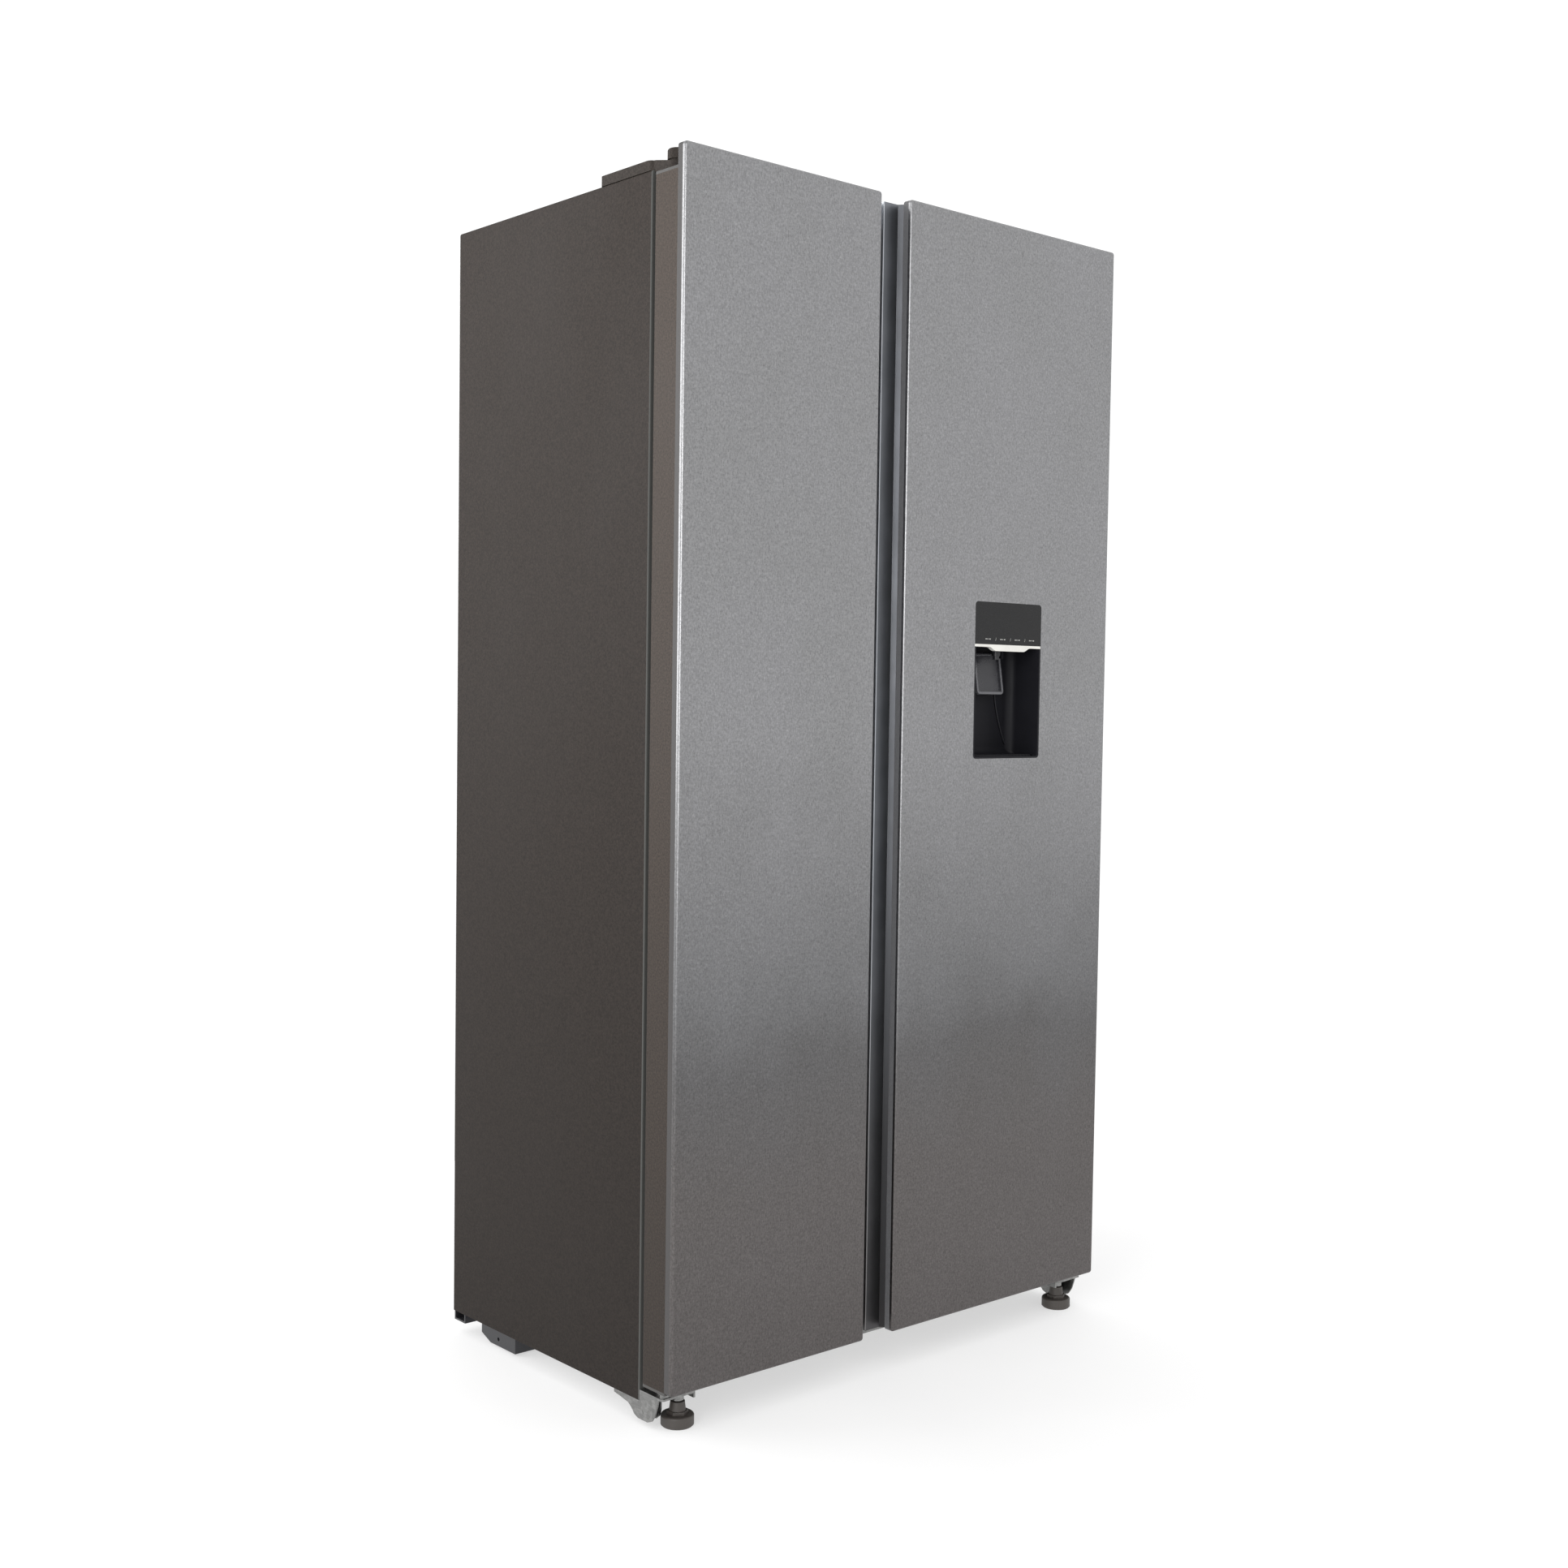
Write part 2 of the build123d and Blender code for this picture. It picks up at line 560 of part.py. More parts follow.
def cabinet_foam():
    """Insulation between the wrapper, the base and both liners."""
    x, t = SHELL_HALF - SHELL_SHEET, SHEET
    inset = FLANGE_SHEET
    foam = block(-x, x, CABINET_FRONT + inset, DEPTH - t, CABINET_BOTTOM + t, CABINET_TOP - SHELL_SHEET)
    foam = fillet(edges_along(foam, Axis.Y).group_by(Axis.Z)[-1], 3.0)
    foam -= block(-x - 1, x + 1, MACHINE_FRONT - t, DEPTH, 0, MACHINE_TOP + t)
    foam -= cavity(-CAVITY_OUT, FREEZER_IN, LINER)
    foam -= cavity(FRIDGE_IN, CAVITY_OUT, LINER)
    for side in (-1, 1):
        for screw_x, d in hinge_screw_places():
            foam -= rod((side * screw_x, d, CABINET_TOP - 12), (side * screw_x, d, CABINET_TOP), 3.1)
    return foam


def back_panel():
    """Flat galvanised sheet over the foam."""
    x = SHELL_HALF - 0.5
    panel = block(-x, x, DEPTH - SHEET, DEPTH, MACHINE_TOP + SHEET, CABINET_TOP - 1)
    return fillet(edges_along(panel, Axis.Y), 3.0)


def machine_cover():
    """Louvred cover of the machine compartment, with a lower lip and the cord's inlet."""
    x = SHELL_HALF - SHELL_SHEET
    t = COVER_SHEET
    cover = block(-x, x, COVER_BACK - t, COVER_BACK, COVER_BOTTOM, MACHINE_TOP)
    cover += block(-x, x, COVER_LIP, COVER_BACK, COVER_BOTTOM, COVER_BOTTOM + t)
    cover += block(-x, x, COVER_LIP, COVER_LIP + t, COVER_BOTTOM, CABINET_BOTTOM)
    for row in range(8):
        z = 90 + row * 20
        for x0 in (-400, -250, 60, 210):
            cover -= block(x0, x0 + 120, COVER_BACK - 4, COVER_BACK + 1, z, z + 6)
    inlet_x, inlet_z = CORD_INLET
    cover += rod((inlet_x, COVER_BACK - 12, inlet_z), (inlet_x, COVER_BACK + 2, inlet_z), 11)
    return cover - rod((inlet_x, COVER_BACK - 13, inlet_z), (inlet_x, COVER_BACK + 3, inlet_z), 5)


def duct_covers():
    """Cold air covers: a full width one in the freezer, a narrow tower in the fridge."""
    low, high = STEP_TOP + 0.5, CAVITY_TOP - 0.5
    front, back = DUCT_FRONT, DUCT_FRONT + 3
    wide = block(-CAVITY_OUT + 0.5, FREEZER_IN - 0.5, front, back, low, high)
    for z in (620, 860, 1100, 1340, 1600):
        for x in (-370, -210):
            wide -= block(x, x + 80, front - 1, back + 1, z, z + 12)
    fan_x, fan_z = FREEZER_FAN
    for inner in (16, 30, 44):
        slot = rod((fan_x, front - 2, fan_z), (fan_x, back + 2, fan_z), inner + 8)
        wide -= slot - rod((fan_x, front - 3, fan_z), (fan_x, back + 3, fan_z), inner)
    wide += block(fan_x - 60, fan_x + 60, front, back, fan_z - 2, fan_z + 2)
    wide += block(fan_x - 2, fan_x + 2, front, back, fan_z - 60, fan_z + 60)
    x0, x1 = TOWER_X
    tower = block(x0, x1, TOWER_FRONT, CAVITY_BACK, low, high)
    tower = fillet(edges_along(tower, Axis.Z).group_by(Axis.Y)[0], 8.0)
    tower -= block(x0 + 3, x1 - 3, TOWER_FRONT + 3, CAVITY_BACK + 1, STEP_TOP, high - 3.5)
    for z in (640, 900, 1180, 1480):
        for x in (142, 200):
            tower -= block(x, x + 45, TOWER_FRONT - 1, TOWER_FRONT + 4, z, z + 10)
    return group(wide, tower)


def serpentine(x0, x1, d, z0, pitch, passes, radius):
    """One tube, bent back and forth in a plane."""
    bend = pitch / 2 - 0.01
    points = []
    for i in range(passes):
        ends = (x0, x1) if i % 2 == 0 else (x1, x0)
        points += [(x, d - DEPTH / 2, z0 + i * pitch) for x in ends]
    path = FilletPolyline(*points, radius=bend)
    start = Plane(origin=path @ 0, z_dir=path % 0)
    return sweep(start * Circle(radius), path=path)


def evaporator():
    """Finned coil behind the freezer's cover."""
    coil = serpentine(-390, -106, 488, 600, 36, 6, 4.0)
    for x in spaced(-372, -124, 24):
        coil += block(x, x + 0.8, 466, 512, 585, 795)
    return coil


def condenser():
    """Tube coil with its wires in the machine compartment, and the pipe to the compressor."""
    passes = 7
    x0, x1 = COIL_ENDS
    front, back = COIL_ROWS
    coil = serpentine(x0, x1, front, COIL_BOTTOM, COIL_PITCH, passes, PIPE_RADIUS)
    coil += serpentine(x0, x1, back, COIL_BOTTOM, COIL_PITCH, passes, PIPE_RADIUS)
    top = COIL_BOTTOM + (passes - 1) * COIL_PITCH
    for x in spaced(x0 + 15, x1 - 16, 12):
        coil += block(x, x + 1.5, front - 4, back + 4, COIL_BOTTOM - 6, top + 6)
    y = front - DEPTH / 2
    pipe = FilletPolyline(
        (x1, y, top), (COMPRESSOR[0], y, top), (COMPRESSOR[0], y, COMPRESSOR_TOP), radius=14
    )
    start = Plane(origin=pipe @ 0, z_dir=pipe % 0)
    return coil + sweep(start * Circle(PIPE_RADIUS), path=pipe)


def compressor():
    """Sealed steel can on its foot plate, with rubber feet and a terminal box."""
    x, d = COMPRESSOR
    can = rod((x, d, 62), (x, d, COMPRESSOR_TOP), 68)
    can = fillet(can.faces().sort_by(Axis.Z)[-1].edges() + can.faces().sort_by(Axis.Z)[0].edges(), 26.0)
    can += rod((x, d, 128), (x, d, 136), 72)
    can += block(x - 95, x + 95, d - 45, d + 45, 52, 56)
    can += block(x - 30, x + 30, d - 30, d + 30, 54, 66)
    can += block(x - 88, x - 50, d - 24, d + 24, 100, 158)
    for dx in (-82, 82):
        for dd in (-34, 34):
            can += rod((x + dx, d + dd, CABINET_BOTTOM + SHEET), (x + dx, d + dd, 60), 9)
    return can


def drip_pan():
    """Shallow tray under the condenser that boils off the defrost water."""
    tray = block(-410, -160, 445, 545, CABINET_BOTTOM + SHEET, 72)
    tray = fillet(edges_along(tray, Axis.Z), 12.0)
    inside = block(-408, -162, 447, 543, CABINET_BOTTOM + SHEET + 2, 80)
    return tray - fillet(edges_along(inside, Axis.Z), 10.0)


def fan_rotor(radius, hub, thickness, blades):
    """Axial fan about Z, with pitched blades on a hub and a bore for the motor's shaft."""
    rotor = Cylinder(hub, thickness)
    for i in range(blades):
        blade = Pos((hub + radius) / 2 - 1, 0, 0) * (Rot(32, 0, 0) * Box(radius - hub + 2, hub * 1.6, 1.6))
        blade = blade & Cylinder(radius, thickness)
        rotor += Rot(0, 0, 360 * i / blades) * blade
    return rotor - Cylinder(SHAFT_RADIUS + 0.05, thickness + 2)


def freezer_fan():
    """Fan that blows the cold air forwards through its cover."""
    x, z = FREEZER_FAN
    return Pos(x, 476 - DEPTH / 2, z) * (Rot(90, 0, 0) * fan_rotor(52, 16, 18, 5))


def condenser_fan():
    """Fan that draws air over the condenser towards the compressor."""
    d, z = CONDENSER_FAN
    return Pos(-70, d - DEPTH / 2, z) * (Rot(0, 90, 0) * fan_rotor(68, 20, 22, 5))


def fan_motors():
    """Both fan motors with their shafts and brackets."""
    x, z = FREEZER_FAN
    upper = rod((x, 490, z), (x, 516, z), 22) + rod((x, 466, z), (x, 492, z), SHAFT_RADIUS)
    upper += block(x - 71.5, x + 71.5, 514, CAVITY_BACK, z - 12, z + 12)
    d, z = CONDENSER_FAN
    lower = rod((-52, d, z), (-14, d, z), 26) + rod((-84, d, z), (-50, d, z), SHAFT_RADIUS)
    lower += block(-40, -26, d - 40, d + 40, CABINET_BOTTOM + SHEET, z - 20)
    return group(upper, lower)


def hinge_screw_places():
    """Top hinge screws, as (x, d) on the right."""
    return ((438.0, 118.0), (412.0, 118.0), (425.0, 168.0))


def top_hinge():
    """Right hand plate with the door's upper pin pressed into its nose."""
    x = HALF - PIVOT_IN
    z0, z1 = CABINET_TOP, CABINET_TOP + 3
    plate = block(402, 448, 92, 190, z0, z1)
    plate = fillet(edges_along(plate, Axis.Z), 8.0)
    plate += block(x - 12, x + 12, PIVOT_DEPTH, 100, z0, z1)
    plate += rod((x, PIVOT_DEPTH, z0), (x, PIVOT_DEPTH, z1), 12)
    plate += rod((x, PIVOT_DEPTH, DOOR_TOP - PIN_REACH), (x, PIVOT_DEPTH, z1), PIN_RADIUS)
    for screw_x, d in hinge_screw_places():
        plate -= rod((screw_x, d, z0 - 1), (screw_x, d, z1 + 1), 3.1)
    return plate


def hinge_screws():
    """Hexagon head screws of the top hinges and the lower brackets."""
    z1 = CABINET_TOP + 3
    screws = []
    for side in (-1, 1):
        for x, d in hinge_screw_places():
            shank = rod((side * x, d, CABINET_TOP - 11), (side * x, d, z1 + 1), 3.0)
            head = Pos(side * x, d - DEPTH / 2, z1) * extrude(RegularPolygon(5.8, 6), 4)
            screws.append(shank + head)
        for x, d in bracket_screw_places():
            under = Pos(side * x, d - DEPTH / 2, CABINET_BOTTOM - 6.5)
            screws.append(under * extrude(RegularPolygon(5.8, 6), 4))
    return group(*screws)


def hinge_cover():
    """Right hand plastic cover: a box on the cabinet, a skirted nose and a round cap over the pin."""
    x, front = HALF - PIVOT_IN, CABINET_FRONT - 0.4
    low, flat, nose, skirt = CABINET_TOP + 0.05, 1776.2, CABINET_TOP + 3.1, DOOR_TOP + 2.6
    outline = polygon(
        (DEPTH, low),
        (DEPTH, flat),
        (90, flat),
        (74, 1774.4),
        (48, 1769.2),
        (30, 1766.0),
        (30, skirt),
        (front, skirt),
        (front, low),
    )
    plan = block(392, 452, CABINET_FRONT, 204.5, 0, HEIGHT)
    plan = fillet(edges_along(plan, Axis.Z), 9.0)
    plan += block(x - 14, x + 14, PIVOT_DEPTH, 100, 0, HEIGHT)
    plan += rod((x, PIVOT_DEPTH, 0), (x, PIVOT_DEPTH, HEIGHT), 14)
    cover = side_prism(outline, 380, 460) & plan
    cap = rod((x, PIVOT_DEPTH, 1770.6), (x, PIVOT_DEPTH, 1785.5), 14)
    cap = fillet(cap.faces().sort_by(Axis.Z)[-1].edges(), 3.5)
    cover += cap + rod((x, PIVOT_DEPTH, nose), (x, PIVOT_DEPTH, 1771), 11.5)
    hollow = block(394.5, 449.5, CABINET_FRONT + 2.5, 202, low - 1, flat - 2.5)
    hollow = fillet(edges_along(hollow, Axis.Z), 6.5)
    slot = block(x - 12.4, x + 12.4, PIVOT_DEPTH, CABINET_FRONT + 4, skirt - 1, nose)
    slot += rod((x, PIVOT_DEPTH, skirt - 1), (x, PIVOT_DEPTH, nose), 12.4)
    return cover - hollow - slot


def bracket_screw_places():
    """Lower bracket screws, as (x, d) on the right."""
    return ((442.0, 122.0), (421.0, 128.0))


def bottom_bracket():
    """Right hand bracket: hinge plate and pin, roller guard flanges, foot nut, hooked inner end."""
    x = HALF - PIVOT_IN
    base, plate0, plate1 = CABINET_BOTTOM, 47.0, 50.0
    flange_outline = polygon(
        (138, base), (138, 29.5), (104, 24), (96, 19), (89, 11.5), (80, 8), (58, 8), (48, 12), (41, 22),
        (36, 36), (32, plate1), (CABINET_FRONT - 0.4, plate1), (CABINET_FRONT - 0.4, base),
    )
    flange = side_prism(flange_outline, 450, 452.5)
    short = edges_along(flange, Axis.X).sort_by(Axis.Z)
    flange = fillet(short[0:4], 5.0)
    guard_outline = polygon(
        (110, base), (104, 24), (96, 19), (89, 11.5), (80, 8), (62, 8), (55, 14), (52, 24), (52, 36),
        (58, plate1), (CABINET_FRONT - 0.4, plate1), (CABINET_FRONT - 0.4, base),
    )
    guard = side_prism(guard_outline, 431.5, 434)
    web = block(415, 452.5, CABINET_FRONT - 3, 138, base - 2.5, base)
    riser = block(395, 452.5, CABINET_FRONT - 3, CABINET_FRONT - 0.4, base - 2.5, plate1)
    hinge_plate = block(393, 452.5, 24, CABINET_FRONT - 0.4, plate0, plate1)
    hinge_plate = fillet(edges_along(hinge_plate, Axis.Z).group_by(Axis.Y)[0], 5.0)
    hook = block(391, 394, 27, 60, plate1 - 11, plate1)
    bracket = flange + guard + web + riser + hinge_plate + hook
    bracket += rod((x, PIVOT_DEPTH, plate0 - 3), (x, PIVOT_DEPTH, DOOR_BOTTOM + PIN_REACH), PIN_RADIUS)
    bracket += rod((x, PIVOT_DEPTH, plate0), (x, PIVOT_DEPTH, DOOR_BOTTOM - 0.4), 9.0)
    bracket += block(x - 14, x + 14, 26, 34, plate0, DOOR_BOTTOM - 2)
    bracket += rod((FOOT_X, FOOT_DEPTH, 37), (FOOT_X, FOOT_DEPTH, plate1), 9.0)
    bracket -= rod((FOOT_X, FOOT_DEPTH, 30), (FOOT_X, FOOT_DEPTH, 60), BORE_RADIUS)
    d, z, _ = FRONT_ROLLER
    return bracket - rod((420, d, z), (460, d, z), AXLE_RADIUS)


def foot():
    """Right hand levelling foot: a wide cap, a tapered neck and a stem."""
    centre = (FOOT_X, FOOT_DEPTH)
    cap = rod((*centre, 0), (*centre, 17), FOOT_RADIUS)
    cap = fillet(cap.faces().sort_by(Axis.Z)[-1].edges(), 3.0)
    cap = chamfer(cap.faces().sort_by(Axis.Z)[0].edges(), 2.0)
    neck = Pos(FOOT_X, FOOT_DEPTH - DEPTH / 2, 17 + 8.5) * Cone(13, 10.5, 19)
    stem = rod((*centre, 30), (*centre, 56), PIN_RADIUS)
    return cap + neck + stem


def roller(spec, x0, x1):
    """Wheel with a rounded tread and a bore for its axle."""
    d, z, radius = spec
    wheel = rod((x0, d, z), (x1, d, z), radius)
    wheel = fillet(wheel.edges().filter_by(GeomType.CIRCLE), 1.5)
    return wheel - rod((x0 - 1, d, z), (x1 + 1, d, z), AXLE_BORE)


def roller_axles():
    """Steel pins that carry the four rollers."""
    axles = []
    for side in (-1, 1):
        d, z, _ = FRONT_ROLLER
        axles.append(rod((side * 431.5, d, z), (side * 453, d, z), AXLE_RADIUS))
        d, z, _ = REAR_ROLLER
        axles.append(rod((side * 400, d, z), (side * 438, d, z), AXLE_RADIUS))
    return group(*axles)


def rear_block():
    """Right hand moulded housing around the rear roller, chamfered at its back."""
    outline = polygon((414, CABINET_BOTTOM), (414, 4), (485, 4), (511, 14), (511, CABINET_BOTTOM))
    body = side_prism(outline, 340, 442)
    d, z, radius = REAR_ROLLER
    body -= block(408, 432, d - radius - 3, d + radius + 3, 0, CABINET_BOTTOM - 3)
    body -= block(350, 400, 424, 502, 0, CABINET_BOTTOM - 4)
    return body - rod((390, d, z), (450, d, z), AXLE_RADIUS)


def shelves(x0, x1, heights, back):
    """Glass shelves with a raised front lip."""
    panes = []
    for z in heights:
        pane = block(x0 + 0.5, x1 - 0.5, SHELF_FRONT, back, z, z + SHELF_GLASS)
        pane += block(x0 + 0.5, x1 - 0.5, SHELF_FRONT - 3, SHELF_FRONT + 6, z - 8, z + 7)
        panes.append(pane)
    return group(*panes)


def drawer(x0, x1, span, back):
    """Open drawer with a thick front and a finger scoop in its upper edge."""
    z0, z1 = span
    w = DRAWER_WALL
    outer = block(x0 + DRAWER_GAP, x1 - DRAWER_GAP, DRAWER_FRONT, back, z0, z1)
    outer = fillet(edges_along(outer, Axis.Z), 6.0)
    inner = block(x0 + DRAWER_GAP + w, x1 - DRAWER_GAP - w, DRAWER_FRONT + 8, back - w, z0 + w, z1 + 1)
    inner = fillet(edges_along(inner, Axis.Z), 5.0)
    middle = (x0 + x1) / 2
    scoop = block(middle - 60, middle + 60, DRAWER_FRONT - 1, DRAWER_FRONT + 9, z1 - 22, z1 + 1)
    return outer - inner - fillet(edges_along(scoop, Axis.Y).group_by(Axis.Z)[0], 12.0)


def interior_lamps():
    """A diffuser under each compartment's ceiling."""
    lamps = []
    for x in ((FREEZER_IN - CAVITY_OUT) / 2, (FRIDGE_IN + CAVITY_OUT) / 2):
        lamp = block(x - 70, x + 70, 220, 280, CAVITY_TOP - 9, CAVITY_TOP)
        lamps.append(fillet(lamp.faces().sort_by(Axis.Z)[0].edges(), 4.0))
    return group(*lamps)


# ---------------------------------------------------------------- writing
def write(name, shape):
    """One node to one file; a node may be several separate solids."""
    solids = shape.solids()
    node = solids[0] if len(solids) == 1 else Compound(solids)
    export_step(node, f"parts/{name}.step")


def write_pair(name, right):
    """Mirrored pieces that share one node."""
    write(name, group(mirrored(right), right))


def main():
    os.makedirs("parts", exist_ok=True)
    write_door(-1, "left", LEFT_PANEL_WIDTH, LEFT_BINS, lambda piece, shape: shape)
    write_door(1, "right", RIGHT_PANEL_WIDTH, RIGHT_BINS, dispenser_cut)

    write("dispenser_housing", dispenser_housing())
    write("control_panel", control_panel())
    write("dispenser_trim", dispenser_trim())
    write("dispenser_nozzle", dispenser_nozzle())
    write("dispenser_paddle", dispenser_paddle())
    write("water_tank", water_tank())
    write("tank_lid", tank_lid())

    write("outer_shell", outer_shell())
    write("back_panel", back_panel())
    write("base_plate", base_plate())
    write("cabinet_foam", cabinet_foam())
    freezer_flange = (-FLANGE_OUT, FREEZER_IN + MULLION_LIP)
    fridge_flange = (FRIDGE_IN - MULLION_LIP, FLANGE_OUT)
    write("freezer_liner", liner(-CAVITY_OUT, FREEZER_IN, *freezer_flange, FREEZER_SHELVES))
    write("fridge_liner", liner(FRIDGE_IN, CAVITY_OUT, *fridge_flange, FRIDGE_SHELVES))
    write("mullion_strip", mullion_strip())
    write("machine_cover", machine_cover())
    write("duct_covers", duct_covers())
    write("evaporator", evaporator())
    write("condenser", condenser())
    write("compressor", compressor())
    write("drip_pan", drip_pan())
    write("freezer_fan", freezer_fan())
    write("condenser_fan", condenser_fan())
    write("fan_motors", fan_motors())
    write("interior_lamps", interior_lamps())
    write("freezer_shelves", shelves(-CAVITY_OUT, FREEZER_IN, FREEZER_SHELVES, 440))
    write("fridge_shelves", shelves(FRIDGE_IN, CAVITY_OUT, FRIDGE_SHELVES, 490))

    for name, x0, x1 in (("freezer", -CAVITY_OUT, FREEZER_IN), ("fridge", FRIDGE_IN, CAVITY_OUT)):
        write(f"{name}_lower_drawer", drawer(x0, x1, LOWER_DRAWER, STEP_DEPTH - 8))
        write(f"{name}_upper_drawer", drawer(x0, x1, UPPER_DRAWER, 436))

    write_pair("top_hinges", top_hinge())
    write_pair("hinge_covers", hinge_cover())
    write_pair("bottom_brackets", bottom_bracket())
    write_pair("rear_blocks", rear_block())
    write("hinge_screws", hinge_screws())
    write("roller_axles", roller_axles())
    for side, name in ((-1, "left"), (1, "right")):
        right_pieces = {
            f"{name}_foot": foot(),
            f"{name}_front_roller": roller(FRONT_ROLLER, 436, 448),
            f"{name}_rear_roller": roller(REAR_ROLLER, 411, 429),
        }
        for node, piece in right_pieces.items():
            write(node, mirrored(piece) if side < 0 else piece)


main()
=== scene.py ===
"""Looks of the side by side refrigerator: finishes, small fittings, studio and camera.

Metres, in the model's own frame: +X to the right, +Y to the back, +Z up, floor at Z = 0.
"""

import json
import math

import bmesh
import bpy
from mathutils import Matrix, Vector


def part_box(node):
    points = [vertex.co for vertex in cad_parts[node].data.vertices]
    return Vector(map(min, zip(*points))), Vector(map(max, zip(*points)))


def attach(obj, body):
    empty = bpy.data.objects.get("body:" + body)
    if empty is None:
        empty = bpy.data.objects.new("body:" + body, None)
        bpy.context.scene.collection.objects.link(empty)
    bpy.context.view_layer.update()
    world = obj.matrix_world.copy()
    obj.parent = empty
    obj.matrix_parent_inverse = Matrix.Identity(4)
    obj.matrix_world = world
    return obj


MM = 0.001
CAMERA_PLACE = (-2.0232, -2.2956, 1.0381)
CAMERA_AZIMUTH = -41.27
CAMERA_ELEVATION = 2.70
CAMERA_ROLL = 0.83
CAMERA_LENS = 42.68
SENSOR = 36.0

# Studio: each softbox has its place, the point it faces, its size and its power.
STUDIO_HALF = 30.0
WORLD_STRENGTH = 1.12
FLOOR_GLOW = 0.55
SOFTBOXES = {
    "left_rear": ((-2.9, 2.1, 1.9), (-0.45, -0.2, 1.4), (2.2, 2.4), 50),
    "left_front": ((-4.3, -2.3, 1.7), (-0.2, -0.3, 1.1), (1.3, 2.4), 75),
}

# Colours, and the painted shade that darkens and warms the steel towards the floor: height as a share of
# the painted shade's top height, level, tint.
PAINTED_SHADE_TOP = 1.8
WHITE = (1.0, 1.0, 1.0)
STEEL = (0.273, 0.273, 0.281)
STEEL_PAINTED_SHADE = (
    (0.06, 0.46, (1.0, 0.925, 0.89)),
    (0.18, 0.48, (1.0, 0.935, 0.90)),
    (0.28, 0.49, (1.0, 0.98, 0.97)),
    (0.335, 0.65, WHITE),
    (0.43, 0.83, WHITE),
    (0.55, 1.0, WHITE),
)
PAINT = (0.029, 0.0225, 0.019)
# Painted highlight along the cabinet's folded front edge.
BEND_HIGHLIGHT_PAINT = (0.085, 0.086, 0.082)
DOOR_SIDE_PAINT = (0.053, 0.040, 0.032)
COVER_PAINT = (0.036, 0.030, 0.026)
RECESS_TONE = (0.0108, 0.0108, 0.0138)
# Painted highlight: the crease is paler than the recess wall.
CREASE_HIGHLIGHT_TONE = (0.024, 0.024, 0.029)

# Places at which one piece changes its look.
SHELL_BEND = 1.8 * MM
SOFT_STEP = 0.4 * MM
FRAME_SIDE = 440 * MM
CHANNEL_RAMP = 11 * MM
CHANNEL_LIP = 1.4 * MM
CHANNEL_STEP = 0.003
PADDLE_PIVOT = 6.0 * MM
PADDLE_RIM = 4.0 * MM

# Fittings.
PRINT = 0.08 * MM
BIN_PITCH = 130 * MM
SHELF_PITCH = 60 * MM
LABEL_HALF = 66 * MM
COVER_SHEET = 2.0 * MM
LOUVRE_STARTS = (-0.400, -0.250, 0.060, 0.210)
LOUVRE_LENGTH = 0.120
LOUVRE_ROWS = 8
LOUVRE_FIRST = 96 * MM
LOUVRE_PITCH = 20 * MM

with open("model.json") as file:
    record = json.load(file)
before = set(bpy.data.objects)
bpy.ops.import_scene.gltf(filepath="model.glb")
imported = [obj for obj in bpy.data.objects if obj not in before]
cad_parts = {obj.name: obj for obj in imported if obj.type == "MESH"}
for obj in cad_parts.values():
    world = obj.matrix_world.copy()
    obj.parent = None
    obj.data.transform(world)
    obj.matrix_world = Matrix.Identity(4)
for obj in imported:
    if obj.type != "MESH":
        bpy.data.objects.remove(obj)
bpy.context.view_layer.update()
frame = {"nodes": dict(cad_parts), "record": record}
nodes = frame["nodes"]


# ---------------------------------------------------------------- finishes
# The colour sockets of a mix node, which share their names with its other sockets.
MIX_FACTOR, MIX_A, MIX_B, MIX_RESULT = 0, 6, 7, 2


